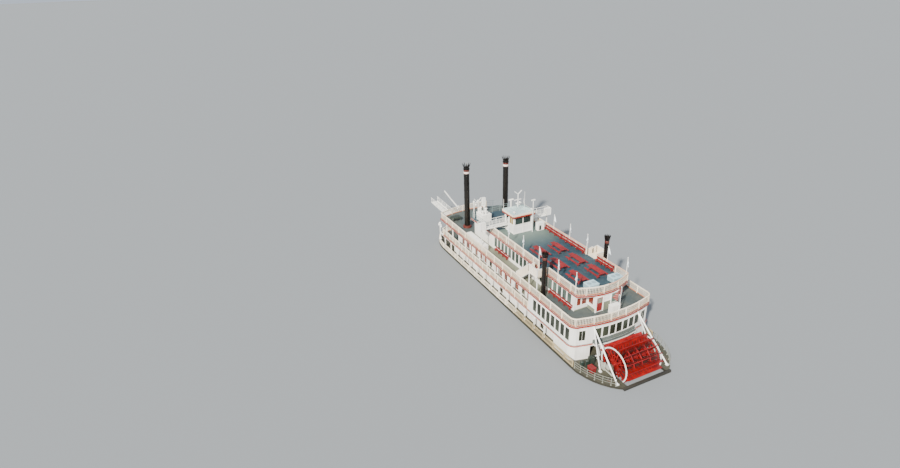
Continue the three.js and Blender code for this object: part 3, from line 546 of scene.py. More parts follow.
def dense(outline):
    """A closed outline with points at most a step apart."""
    found = []
    for (x0, y0), (x1, y1) in zip(outline, outline[1:] + outline[:1]):
        count = max(1, ceil(hypot(x1 - x0, y1 - y0) / STEP))
        found += [(x0 + (x1 - x0) * i / count, y0 + (y1 - y0) * i / count) for i in range(count)]
    return found


def runs(outline, keep):
    """The stretches of a closed outline whose points are kept, each as an open run."""
    points = dense(outline)
    flags = [keep(x, y) for x, y in points]
    if all(flags):
        return [points + points[:1]]
    start = flags.index(False)
    found, run = [], []
    for point, kept in zip(points[start:] + points[:start], flags[start:] + flags[:start]):
        if kept:
            run.append(point)
        elif run:
            found.append(run)
            run = []
    return found + ([run] if run else [])


def walk(run, pitch, start):
    """Evenly spaced places along a run, each with the way it runs there."""
    found, due = [], start
    for (x0, y0), (x1, y1) in zip(run, run[1:]):
        length = hypot(x1 - x0, y1 - y0)
        way_x, way_y = (x1 - x0) / length, (y1 - y0) / length
        while due <= length:
            found.append(((x0 + way_x * due, y0 + way_y * due), (way_x, way_y)))
            due += pitch
        due -= length
    return found


def post_places(run, pitch, start):
    return [place for place, _ in walk(run, pitch, start)] + [run[-1]]


# Railings

# Sawn baluster: half widths by height share
BALUSTER = [(0.0, 0.035), (0.1, 0.035), (0.16, 0.018), (0.3, 0.04), (0.46, 0.02), (0.54, 0.02), (0.7, 0.04)]
BALUSTER += [(0.84, 0.018), (0.9, 0.035), (1.0, 0.035)]
BALUSTER_PITCH = 0.19
POST_PITCH = 2.3
GATE = (-8.4, -6.4)
SUN_OPEN = 6.6
TEXAS_OPEN = 13.0


def railing(name, outline, foot, height, keep, node, finish=CREAM):
    """Railing along an outline: sawn balusters, foot board, top rails, and posts with caps."""
    form, cap, board = forms(3, foot)
    tall = height - 0.26
    sawn = [(w, h * tall) for h, w in BALUSTER] + [(-w, h * tall) for h, w in reversed(BALUSTER)]
    for run in runs(outline, keep):
        cap.sweep(run, -0.07, 0.07, height - 0.06, height)
        cap.sweep(run, -0.025, 0.025, height - 0.14, height - 0.065)
        board.sweep(run, -0.03, 0.03, 0.03, 0.15)
        for place, way in walk(run, BALUSTER_PITCH, BALUSTER_PITCH / 2):
            form.board(sawn, place, way, 0.14, 0.028)
        for x, y in post_places(run, POST_PITCH, 0.06):
            form.post(x, y, 0.06, 0, height - 0.055)
    made = piece(name, form, finish)
    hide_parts(node)
    piece(f"{name}_cap", cap, RAIL_CAP if finish == CREAM else finish)
    piece(f"{name}_foot", board, RAIL_FOOT if finish == CREAM else finish)
    return made


# Thin pipes: heights, radius and sides, posts' pitch and start, shoes' half width
FAR_PIPES = ((0.4, 0.75, RAIL_HEIGHT - 0.02), 0.02, 5, 1.4, 0.03, 0.06)
ARM_PIPES = ((0.32, 0.63, 0.95), 0.022, 6, 0.95, 0.05, 0.07)


def pipe_railing(name, outline, foot, keep, pipes, finish, smooth=False):
    """Light railing of thin pipes that hardly hides what is behind it."""
    heights, radius, sides, pitch, start, shoe = pipes
    form = Form(foot)
    for run in runs(outline, keep):
        for z in heights:
            for a, b in zip(run, run[1:]):
                form.rod((*a, z), (*b, z), radius, sides=sides)
        for x, y in post_places(run, pitch, start):
            form.rod((x, y, 0), (x, y, heights[-1]), 0.028)
            form.post(x, y, shoe, 0.001, 0.03)
    piece(name, form, finish, smooth=smooth)


def sun_side(x, y):
    return not (GATE[0] < x < GATE[1]) and x < SUN_OPEN


def texas_side(x, y):
    return not (x > TEXAS_OPEN and y < -3.4)


def texas_bow(x, y):
    return x > TEXAS_OPEN - 0.3 and y < -3.15


def beside_wheel(x, y):
    return -22.55 < x < -17.55


def railings():
    boiler, texas, sun = (deck_outline(plan, 0.1) for plan in (BOILER_PLAN, TEXAS_PLAN, SUN_PLAN))
    main = main_outline(0.1)
    railing("main_railing", main, MAIN, MAIN_RAIL_HEIGHT, lambda x, y: x > -17.6, "main_rail", MAIN_RAIL)
    railing("boiler_railing", boiler, BOILER, RAIL_HEIGHT, lambda x, y: x > -7.15, "boiler_rail")
    railing("texas_railing", texas, TEXAS, RAIL_HEIGHT, texas_side, "texas_rail")
    sun_rails = railing("sun_railing", sun, SUN, RAIL_HEIGHT, sun_side, "sun_rail_fore")
    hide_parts("sun_rail_aft")
    # The bows' thin pipe rails take the grey-teal of painted shade.
    pipe_railing("sun_bow_railing", sun, SUN, lambda x, y: x > SUN_OPEN - 0.3, FAR_PIPES, RAIL_SHADE_TEAL)
    pipe_railing("texas_bow_railing", texas, TEXAS, texas_bow, FAR_PIPES, RAIL_SHADE_TEAL)


# Painted stripes round the decks' edges, white mouldings under them, and grey-teal boards on the stern over
# the wheel


def over_wheel(x, y):
    return x < -16.9 and abs(y) < 3.2


def fascia(name, plan, top, depth, finish, keep=lambda x, y: True):
    stripe, moulding = forms(2, top)
    for run in runs(deck_outline(plan), keep):
        stripe.sweep(run, -0.03, 0.02, -0.02 - depth, -0.02)
        moulding.sweep(run, -0.025, 0.02, -PLATE - 0.01, -PLATE + 0.035)
    piece(f"{name}_stripe", stripe, finish)
    piece(f"{name}_moulding", moulding, WHITE)


def stern_boards_over_wheel():
    # Thin grey-teal boards on the lower stern wall and on the deck edge over the wheel.
    form = Form(BOILER)
    for run in runs(deck_outline(BOILER_PLAN, 0.1), lambda x, y: x < -16.85 and -3.3 < y < 3.4):
        form.sweep(run, -0.025, -0.004, 0.005, 0.42)
        form.sweep(run, -0.04, -0.004, 0.42, 0.46)
    for run in runs(deck_outline(BOILER_PLAN), over_wheel):
        form.sweep(run, -0.035, -0.004, -PLATE - 0.012, -0.01)
    piece("stern_grey_boards", form, STERN_BOARD_GREY)


railings()
fascia("boiler", BOILER_PLAN, BOILER, 0.15, STRIPE_PALE, lambda x, y: not over_wheel(x, y))
fascia("texas", TEXAS_PLAN, TEXAS, 0.21, STRIPE)
fascia("sun", SUN_PLAN, SUN, 0.2, STRIPE)
stern_boards_over_wheel()
pipe_railing("stern_pipe_rail", main_outline(0.12), MAIN, beside_wheel, ARM_PIPES, RAIL_GREY, smooth=True)


# Walls: boxes set on a wall's outer face, windows and doors

STERNWARD = (0, -1)
FORWARD = (0, 1)
CASING = 0.045
PROUD = 0.02


def on_wall(place, way):
    """Box maker for a wall: u runs along it from a place, v outwards, which is to the right of its way."""

    def box(form, u0, u1, v0, v1, z0, z1):
        form.prism([across(place, way, u, v) for u, v in rectangle(u0, u1, v0, v1)], z0, z1)

    return box


def casing(trim, box, half, foot, head, sill=False):
    """Boards round an opening, and a sill under it."""
    for u0, u1 in ((-half - CASING, -half), (half, half + CASING)):
        box(trim, u0, u1, -0.03, PROUD, foot, head)
    box(trim, -half - CASING - 0.01, half + CASING + 0.01, -0.03, PROUD + 0.01, head, head + 0.07)
    if sill:
        box(trim, -half - CASING - 0.03, half + CASING + 0.03, -0.03, PROUD + 0.03, foot - 0.05, foot)


def window(trim, pane, place, way, half, foot, head, bars=0):
    """Storm pane over an opening of a wall, with its casing and upright bars."""
    box = on_wall(place, way)
    casing(trim, box, half, foot, head, sill=True)
    for i in range(bars):
        u = -half + 2 * half * (i + 1) / (bars + 1)
        box(trim, u - 0.012, u + 0.012, 0.006, 0.018, foot, head)
    box(pane, -half - 0.004, half + 0.004, 0.003, 0.012, foot - 0.004, head + 0.004)


def along_sides(half, xs, middle=0.0):
    """Places on a house's port and starboard walls, each with a way that has outwards to its right."""
    return [((x, y), way) for y, way in ((middle + half, (-1, 0)), (middle - half, (1, 0))) for x in xs]


def edge_at(outline, y):
    """Where an outline's stern edge passes a station across the boat, and the way it runs there."""
    for (x0, y0), (x1, y1) in zip(outline, outline[1:]):
        if x0 < -15 and x1 < -15 and y1 <= y <= y0:
            share = (y0 - y) / (y0 - y1)
            length = hypot(x1 - x0, y1 - y0)
            return (x0 + (x1 - x0) * share, y), ((x1 - x0) / length, (y1 - y0) / length)


def house_pieces(name, trim, pane, glazing):
    piece(f"{name}_casings", trim, TRIM)
    piece(f"{name}_panes", pane, glazing)


def main_house_windows():
    trim, pane = forms(2, MAIN)
    for place in along_sides(5.2, stations(-7.5, 15.0, 11)):
        window(trim, pane, *place, 0.3, 1.0, 1.6, bars=1)
    for place in along_sides(5.2, (-9.5, 1.0, 11.0)):
        casing(trim, on_wall(*place), 0.5, 0.1, 1.75)
    house_pieces("main_house", trim, pane, GLASS)


def fore_saloon_windows():
    trim, pane = forms(2, BOILER)
    doors = (-4.0, 5.0)
    clear = [x for x in stations(-5.5, 14.0, 14) if min(abs(x - door) for door in doors) > 0.5]
    for place in along_sides(4.7, clear):
        window(trim, pane, *place, 0.38, 0.12, 2.05, bars=1)
    for place in along_sides(4.7, doors):
        casing(trim, on_wall(*place), 0.45, 0.1, 2.05)
    casing(trim, on_wall((15.6, 0), FORWARD), 0.7, 0.1, 2.05)
    house_pieces("fore_saloon", trim, pane, RED_GLASS)


def aft_saloon_windows():
    trim, pane = forms(2, BOILER)
    for place in along_sides(5.94, stations(-8.7, -15.6, 8)):
        window(trim, pane, *place, 0.37, 0.5, 2.15)
    outline = deck_outline(BOILER_PLAN, 0.1)
    for y in (4.66, *stations(2.6, -3.4, 7), -4.66):
        window(trim, pane, *edge_at(outline, y), 0.4, 0.62, 2.0, bars=1 if abs(y) > 4 else 0)
    house_pieces("aft_saloon", trim, pane, OLIVE_GLASS)


def texas_windows():
    trim, pane, curtained = forms(3, TEXAS)
    for place in along_sides(HOUSE_HALF, stations(-12.8, 5.1, 19)):
        window(trim, pane, *place, 0.38, 0.5, 2.1)
    for y, half in ((2.315, 0.335), (3.125, 0.275), (-2.525, 0.325), (-3.2, 0.2)):
        window(trim, curtained if y > 0 else pane, (BAY_WALL, y), STERNWARD, half, 0.7, 2.05)
    window(trim, curtained, (-14.45, BAY_PORT), (-1, 0), 0.4, 0.9, 2.05)
    window(trim, pane, (BAY_AFT, -1.2), STERNWARD, 0.55, 0.8, 2.05)
    on_wall((BAY_AFT, -1.2), STERNWARD)(pane, -0.52, 0.52, 0.001, 0.012, 0.45, 0.74)
    casing(trim, on_wall((BAY_AFT, DOOR_MIDDLE), STERNWARD), 0.435, 0.06, 2.0)
    house_pieces("texas", trim, pane, GLASS)
    piece("texas_curtained_panes", curtained, RED_GLASS)


def stern_bay():
    """Posts, panels, lintel and kickboards of the texas cabin's stern bay, and its door."""
    posts, panel, door, light, knob = forms(5, TEXAS)
    ceiling = SUN - PLATE - TEXAS - 0.01
    box = on_wall((BAY_AFT, 0), STERNWARD)
    for y in (1.7, 0.6, -0.58, -1.86):
        box(posts, -y - 0.07, -y + 0.07, 0.0, 0.06, 0.01, ceiling)
    box(posts, -1.75, 1.92, 0.0, 0.05, 2.14, ceiling)
    box(panel, -0.52, 0.5, 0.0, 0.02, 0.02, 1.2)
    for z in (0.3, 0.75):
        box(panel, -0.5, 0.48, 0.018, 0.03, z - 0.03, z + 0.03)
    box(posts, -0.54, 0.52, 0.0, 0.04, 1.2, 1.3)
    side = on_wall((0, BAY_PORT), (-1, 0))
    side(panel, -BAY_WALL + 0.02, -BAY_AFT - 0.08, 0.0, 0.02, 0.02, 0.5)
    side(posts, -BAY_WALL + 0.02, -BAY_AFT - 0.08, 0.0, 0.03, 0.5, 0.56)
    wall = on_wall((BAY_WALL, 0), STERNWARD)
    for u0, u1 in ((-3.74, -BAY_PORT - 0.02), (-BAY_STBD + 0.02, 3.74)):
        wall(panel, u0, u1, 0.0, 0.02, 0.01, 0.16)
    leaf = on_wall((BAY_AFT + 0.02, DOOR_MIDDLE), STERNWARD)
    for u0, u1 in ((-0.34, -0.27), (0.31, 0.41)):
        leaf(door, u0, u1, 0.0, 0.015, 0.1, 1.97)
    for z0, z1 in ((0.1, 0.25), (1.85, 1.97), (1.08, 1.2)):
        leaf(door, -0.31, 0.31, 0.0, 0.015, z0, z1)
    leaf(light, -0.34, 0.34, 0.0, 0.008, 1.22, 1.84)
    leaf(knob, 0.34, 0.38, 0.012, 0.05, 1.0, 1.04)
    piece("stern_bay_posts", posts, TRIM, bevel=0.008)
    piece("stern_bay_panel", panel, GREEN_GREY, bevel=0.006)
    piece("texas_door_rails", door, RED, "texas_door", bevel=0.006)
    piece("texas_door_light", light, GREY_GLASS, "texas_door")
    piece("texas_door_knob", knob, BRASS, "texas_door")


def stern_locker():
    """Lid, corner boards and panels of the locker by the stern staff."""
    form = Form(TEXAS)
    x0, x1, y0, y1 = plan = (-16.55, -15.95, -1.05, 0.25)
    form.rim(plan, 0.03, 1.06, 1.13)
    for x in (x0 - 0.01, x1 - 0.05):
        for y in (y0 - 0.01, -0.43, y1 - 0.05):
            form.box(x, x + 0.06, y, y + 0.06, 0.02, 1.06)
        form.box(x, x + 0.06, y0, y1, 0.02, 0.12)
    piece("stern_locker_trim", form, TRIM, bevel=0.008)


def pilothouse_windows():
    trim, pane, amber = forms(3, SUN)
    half = PILOT_HALF
    for x, way in ((PILOT_AFT, STERNWARD), (PILOT_FORE, FORWARD)):
        for y in (PILOT_MIDDLE - 0.7, PILOT_MIDDLE + 0.7):
            window(trim, pane, (x, y), way, 0.64, 1.5, 2.82)
        box = on_wall((x, PILOT_MIDDLE), way)
        for z in (0.08, 1.0, 1.38):
            box(trim, -half - 0.03, half + 0.03, 0.0, 0.03, z, z + 0.07)
        for u in (-half, 0, half):
            box(trim, u - 0.05, u + 0.05, 0.0, 0.035, 0.02, 2.98)
    reach = (PILOT_FORE - PILOT_AFT) / 2 + 0.03
    for (x, y), way in along_sides(half, [(PILOT_AFT + PILOT_FORE) / 2], PILOT_MIDDLE):
        window(trim, amber, (4.6, y), way, 0.5, 1.5, 2.82, bars=1)
        casing(trim, on_wall((5.825, y), way), 0.375, WING_FLOOR + 0.02, 2.75)
        for z in (0.08, 1.38):
            on_wall((x, y), way)(trim, -reach, reach, 0.0, 0.03, z, z + 0.07)
    house_pieces("pilothouse", trim, pane, DARK_GLASS)
    piece("pilothouse_side_panes", amber, AMBER_GLASS)


# Pilothouse roof: hips with standing seams, scalloped eave, lamps and aerials on it


def scallops(length, count, steps, top, foot, deep):
    """Outline of a valance: straight along its top, with a row of rounded lobes below."""
    outline = [(0, top), (length, top)]
    for k in range(count, 0, -1):
        for step in range(steps + 1):
            t = step / steps
            outline.append((length / count * (k - t), foot - deep * sin(pi * t)))
    return outline


def pilot_roof():
    roof, eave, gear, valance = forms(4, SUN + 3.0)
    over, flat, rise = 0.32, 0.25, 0.52
    x0, x1, half, keel = PILOT_AFT - over, PILOT_FORE + over, PILOT_HALF + over, PILOT_MIDDLE
    middle, peak_x, peak_y = (x0 + x1) / 2, (x1 - x0) / 2 * flat, half * flat
    low = rectangle(x0, x1, keel - half, keel + half)
    high = rectangle(middle - peak_x, middle + peak_x, keel - peak_y, keel + peak_y)
    roof.prism(low, 0.06, 0.21).prism(low, 0.21, 0.21 + rise, high)
    roof.box(middle - 0.5, middle + 0.5, keel - 0.4, keel + 0.4, 0.7, 0.755)
    for i in range(4):
        (a0, b0), (a1, b1) = low[i], low[(i + 1) % 4]
        (c0, d0), (c1, d1) = high[i], high[(i + 1) % 4]
        for share in (0.0, 0.17, 0.33, 0.5, 0.67, 0.83):
            foot = (a0 + (a1 - a0) * share, b0 + (b1 - b0) * share, 0.22)
            head = (c0 + (c1 - c0) * share, d0 + (d1 - d0) * share, 0.22 + rise)
            roof.bar(foot, head, 0.035, 0.05)
        length = hypot(a1 - a0, b1 - b0)
        count, way = round(length / 0.36), ((a1 - a0) / length, (b1 - b0) / length)
        eave.board(scallops(length, count, 6, 0.06, -0.2, 0.17), low[i], way, 0.02, 0.05)
        valance.board(scallops(length, 2 * count, 4, 0.2, 0.02, 0.13), low[i], way, 0.02, 0.075)
    lamps = ((x0 + 0.35, 1.35, 0.32, 0.13), (x0 + 0.3, -1.6, 0.28, 0.12), (x1 - 0.3, -1.2, 0.5, 0.15))
    for x, y, h, r in lamps:
        gear.rod((x, y, 0.2), (x, y, 0.2 + h), 0.04, sides=8)
        gear.rod((x - 0.14, y, 0.24 + h), (x + 0.14, y, 0.24 + h), r, sides=14)
    gear.rod((x1 - 0.6, 0.6, 0.2), (x1 - 0.6, 0.6, 1.7), 0.09, sides=10)
    gear.bar((x1 - 0.48, 0.95, 1.62), (x1 - 0.7, 0.25, 1.72), 0.13, 0.16)
    for x, y, h in ((x1 - 0.15, 1.6, 1.6), (x0 + 1.2, -0.91, 2.9), (x1 - 0.3, -1.8, 1.4)):
        gear.rod((x, y, 0.2), (x, y, 0.2 + h), 0.03, 0.018)
    x, y = x1 - 0.5, -0.75
    for horn in (y - 0.12, y + 0.12):
        gear.rod((x, horn, 0.62), (x + 0.42, horn, 0.66), 0.035, 0.09, sides=12)
    gear.box(x - 0.08, x + 0.02, y - 0.2, y + 0.2, 0.4, 0.7)
    made = piece("pilothouse_roof_seamed", roof, ROOF, bevel=0.01)
    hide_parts("pilothouse_roof")
    piece("pilothouse_eave", eave, STRIPE)
    piece("pilothouse_cornice", valance, CREAM, slot="white_paint")
    piece("pilothouse_roof_gear", gear, TRIM, smooth=True)


# Stacks: riveted tubes, bands and crowns of leaves, as (radius, height) profiles over the texas deck


def hoop(inner, outer, foot, head):
    return [(inner, foot), (outer, foot + 0.01), (outer, head - 0.01), (inner, head)]


STACKS = {
    "front": {
        "place": (14.7, 3.6),
        "sides": 32,
        "tube": [
            [(0.45, 0.3), (0.45, 9.9), (0.4, 9.9), (0.4, 10.2)],
            *(hoop(0.44, 0.475, h, h + 0.08) for h in [0.45] + stations(1.6, 8.8, 7)),
            [(0.44, 9.93), (0.53, 9.97), (0.53, 10.05), (0.44, 10.1)],
            [(0.42, 10.1), (0.42, 10.3), (0.36, 10.3), (0.36, 10.2)],
        ],
        "crown": [(0.42, 10.08, 0.25), (0.45, 10.3, 0.22), (0.54, 10.6, 0.14), (0.68, 10.88, 0.03)],
        "bands": {
            "band": (hoop(0.46, 0.462, 9.3, 9.61), PINK_WHITE),
            "red_band": (hoop(0.46, 0.465, 9.68, 9.89), PLINTH_RED),
            "plinth": ([(0.72, 0.002), (0.72, 0.2), (0.66, 0.24), (0.66, 0.3), (0.47, 0.34)], PLINTH_RED),
        },
    },
    "aft": {
        "place": (-8.95, 4.9),
        "sides": 28,
        "tube": [
            [(0.4, 0.002), (0.4, 0.1), (0.3, 0.15), (0.3, 5.5), (0.3, 5.6)],
            *(hoop(0.295, 0.32, h, h + 0.07) for h in (0.5, 1.9, 3.3, 4.7)),
            [(0.29, 5.55), (0.34, 5.7), (0.4, 6.0), (0.37, 6.0), (0.3, 5.72)],
        ],
        "crown": [(0.3, 5.6, 0.26), (0.34, 5.85, 0.26), (0.38, 6.05, 0.2), (0.4, 6.24, 0.05)],
        "bands": {"band": (hoop(0.302, 0.31, 5.15, 5.51), PLINTH_RED)},
    },
}
LEAVES = 11


def crown(form, x, y, profile):
    """Ring of pointed leaves; the profile has (radius, height, half angle) from foot to tip."""
    for i in range(LEAVES):
        middle = 2 * pi * i / LEAVES
        rings = []
        for radius, height, spread in profile:
            corners = rectangle(radius, radius + 0.03, middle - spread, middle + spread)
            rings.append([(x + r * cos(a), y + r * sin(a), height) for r, a in corners])
        form.loft(rings)


def stack(kind, side, s):
    shape = STACKS[kind]
    x, y, sides = shape["place"][0], shape["place"][1] * s, shape["sides"]
    tube = Form(TEXAS)
    for profile in shape["tube"]:
        tube.spin(profile, x, y, sides=sides)
    crown(tube, x, y, shape["crown"])
    made = piece(f"{kind}_stack_tube_{side}", tube, BLACK, smooth=True)
    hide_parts(f"{kind}_stack_{side}")
    for name, (profile, finish) in shape["bands"].items():
        band = Form(TEXAS).spin(profile, x, y, sides=sides)
        if name == "plinth":
            for c, n in circle(12):
                band.rod((x + 0.6 * c, y + 0.6 * n, 0.28), (x + 0.6 * c, y + 0.6 * n, 0.34), 0.03)
        piece(f"{kind}_stack_{name}_{side}", band, finish, smooth=True)


# Stern wheel's fittings: brackets and bolts on every board, bands round the frames, and inner boards


def wheel_fittings():
    inner, bracket, bands = forms(3, WHEEL_Z)
    boards, first = 16, 0.218
    angles = [first + 2 * pi * i / boards for i in range(boards)]
    spokes = [(Vector((cos(a), 0, sin(a))), Vector((-sin(a), 0, cos(a)))) for a in angles]
    for i, (out, side) in enumerate(spokes):
        following = spokes[(i + 1) % boards][0]
        for y in stations(-2.3, 2.3, 12):
            at = Vector((WHEEL_X, y, 0))
            for off in (side * -0.055, side * 0.055):
                bracket.bar(at + off + out * 1.8, at + off + out * 2.2, 0.06, 0.04, side)
            for bolt in (at + out * 1.85, at + out * 2.12):
                bracket.rod(bolt - side * 0.095, bolt + side * 0.095, 0.022)
        for y in (-2.44, -1.22, 0, 1.22, 2.44):
            for at in (Vector((WHEEL_X, y - 0.06, 0)), Vector((WHEEL_X, y + 0.06, 0))):
                for radius in (1.2, 1.88):
                    bands.bar(at + out * radius, at + following * radius, 0.03, 0.09, out + following)
        ends = (Vector((WHEEL_X, y, 0)) + out * 1.48 for y in (-2.4, 2.4))
        inner.bar(*ends, 0.4, 0.05, side)
    piece("wheel_inner_boards", inner, DARK_RED, "wheel", "wheel_paint")
    piece("wheel_brackets", bracket, DARK_RED, "wheel")
    piece("wheel_bands", bands, WHEEL_RED, "wheel")


main_house_windows()
fore_saloon_windows()
aft_saloon_windows()
texas_windows()
stern_bay()
stern_locker()
pilothouse_windows()
pilot_roof()
for side, s in SIDES:
    stack("front", side, s)
    stack("aft", side, s)
wheel_fittings()


# Promenades: a sawn valance from post to post under a deck's edge, and the posts' bases


def promenade(name, y_half, posts, foot, top, rise):
    form, bases = Form(top), Form(foot)
    for y in (y_half, -y_half):
        for x0, x1 in zip(posts, posts[1:]):
            span = x1 - x0 - 0.14
            outline = [(0, 0), (0, -rise)]
            for t in stations(1 / 12, 11 / 12, 11):
                outline.append((span * t, -rise + (rise - 0.07) * sin(pi * t) ** 0.45))
            form.board([*outline, (span, -rise), (span, 0)], (x0 + 0.07, y), (1, 0), 0, 0.05)
        for x in posts:
            form.post(x, y, 0.11, -0.09, -0.002)
            form.post(x, y, 0.09, -rise - 0.08, -rise - 0.03)
            bases.post(x, y, 0.1, 0.001, 0.22)
    piece(f"{name}_arches", form, TRIM)
    piece(f"{name}_post_bases", bases, TRIM)


# Seats and tables, in slats

SEAT = 0.46
SEAT_DEPTH = 0.44


def bench(name, node, deck, x0, x1, wall, s, back, legs):
    """Slatted bench with its back to a side at wall, facing inboard (s is the side it faces from)."""
    form = Form(deck)
    front = wall - s * SEAT_DEPTH
    slats = 4
    width = (SEAT_DEPTH - 0.06) / slats
    for i in range(slats):
        y = min(wall, front) + 0.02 + i * (width + 0.006)
        form.box(x0, x1, y, y + width - 0.015, SEAT - 0.035, SEAT)
    z = SEAT + 0.08
    while z + 0.08 <= back:
        form.box(x0, x1, wall, wall - s * 0.035, z, z + 0.08)
        z += 0.115
    for x in stations(x0 + 0.2, x1 - 0.2, legs):
        a, b = x - 0.03, x + 0.03
        form.box(a, b, wall - s * 0.02, front + s * 0.02, SEAT - 0.1, SEAT - 0.035)
        form.box(a, b, wall - s * 0.04, wall - s * 0.09, SEAT - 0.42, back - 0.02)
        form.box(a, b, front + s * 0.05, front + s * 0.1, SEAT - 0.38, SEAT - 0.04)
        form.bar((x, front + s * 0.08, SEAT - 0.3), (x, wall - s * 0.07, SEAT - 0.1), 0.03, 0.04)
    made = piece(name, form, RED)
    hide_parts(node)


def benches(side, s):
    for number, x0, x1, legs in ((1, -6.2, 3.2, 8), (2, -12.0, -8.6, 4)):
        name, node = f"railing_bench_{number}_{side}", f"rail_bench_{number}_{side}"
        bench(name, node, SUN, x0, x1, s * 3.785, s, 0.95, legs)
    for end, x0, x1, legs in (("fore", 1.2, 4.9, 4), ("aft", -13.6, -8.9, 5)):
        bench(f"cabin_bench_{end}_{side}", f"bench_{end}_{side}", TEXAS, x0, x1, s * 3.79, -s, 0.76, legs)


TABLE_ROWS = {
    "port": ((-3.3, 1.6), (-7.4, 1.6), (-11.3, 1.5)),
    "stbd": ((-3.5, -1.2), (-7.5, -1.3), (-11.2, -1.5)),
}
TABLE_HALF = 1.4
PLANK, PLANK_PITCH = 0.134, 0.146


def plank_table(form, x, y):
    """Table with a bench on either side, on two trestles."""
    planks = [(y - 0.36 + i * PLANK_PITCH, 0.7, 0.74) for i in range(5)]
    planks += [(y + s * 0.72 + k * PLANK_PITCH + 0.006, 0.425, 0.462) for s in (-1, 1) for k in (-1, 0)]
    for y0, z0, z1 in planks:
        form.box(x - TABLE_HALF, x + TABLE_HALF, y0, y0 + PLANK, z0, z1)
    for dx in (-0.95, 0.95):
        form.post(x + dx, y, 0.03, 0.34, 0.424, 0.84)
        form.post(x + dx, y, 0.03, 0.63, 0.7, 0.34)
        for s in (-1, 1):
            form.bar((x + dx, y + s * 0.62, 0.01), (x + dx, y + s * 0.2, 0.68), 0.05, 0.09, (1, 0, 0))
        form.bar((x + dx, y, 0.38), (x + dx * 0.2, y, 0.68), 0.05, 0.06)


def tables(side):
    form = Form(SUN)
    for x, y in TABLE_ROWS[side]:
        plank_table(form, x, y)
    made = piece(f"plank_tables_{side}", form, RED, bevel=0.006)
    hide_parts(f"tables_{side}")


# Boxes on the decks: air units and lockers


def air_unit(side, s):
    y0, y1 = (0.5, 2.0) if s > 0 else (-3.2, -1.7)
    x0, x1 = -14.25, -13.1
    shell, dark = forms(2, SUN)
    for out, z0, z1 in ((0, 0.08, 0.72), (0.02, 0.69, 0.745)):
        shell.rim((x0, x1, y0, y1), out, z0, z1)
    for x in (x0 + 0.1, x1 - 0.2):
        shell.box(x, x + 0.1, y0 + 0.02, y1 - 0.02, 0.001, 0.08)
    for z in stations(0.16, 0.6, 8):
        for x in (x0 - 0.015, x1 - 0.005):
            dark.box(x, x + 0.02, y0 + 0.08, y1 - 0.08, z, z + 0.035)
        for y in (y0 - 0.015, y1 - 0.005):
            dark.box(x0 + 0.1, x1 - 0.1, y, y + 0.02, z, z + 0.035)
    for y in (y0 + 0.4, y1 - 0.4):
        dark.spin([(0.29, 0.741), (0.29, 0.752), (0.2, 0.753), (0.05, 0.76)], (x0 + x1) / 2, y)
    made = piece(f"air_unit_case_{side}", shell, AIR, bevel=0.02)
    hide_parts(f"air_unit_{side}")
    piece(f"air_unit_louvres_{side}", dark, AIR_DARK)


def locker(side, s):
    x0, x1, doors = 5.3, 10.9, 7
    y0, y1 = sorted((s * 4.9, s * 5.7))
    body, lids = forms(2, TEXAS)
    body.box(x0 + 0.02, x1 - 0.02, y0 + 0.03, y1 - 0.03, 0.1, 0.93)
    body.box(x0 + 0.08, x1 - 0.08, y0 + 0.08, y1 - 0.08, 0.002, 0.1)
    width = (x1 - x0) / doors
    for i in range(doors):
        a, b = x0 + i * width + 0.02, x0 + (i + 1) * width - 0.02
        lids.box(a, b, y0, y1, 0.93, 0.995)
        for y in (y0 + 0.01, y1 - 0.03):
            lids.box(a + 0.04, b - 0.04, y, y + 0.02, 0.16, 0.88)
        for x in (a + 0.12, b - 0.12):
            lids.rod((x - 0.05, y1, 0.96), (x + 0.05, y1, 0.96), 0.012)
    made = piece(f"locker_body_{side}", body, WHITE, bevel=0.012)
    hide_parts(f"locker_{side}")
    piece(f"locker_lids_{side}", lids, TRIM, bevel=0.012)


# Stair wings: landing, open flight with treads, solid side panels with caps, and posts


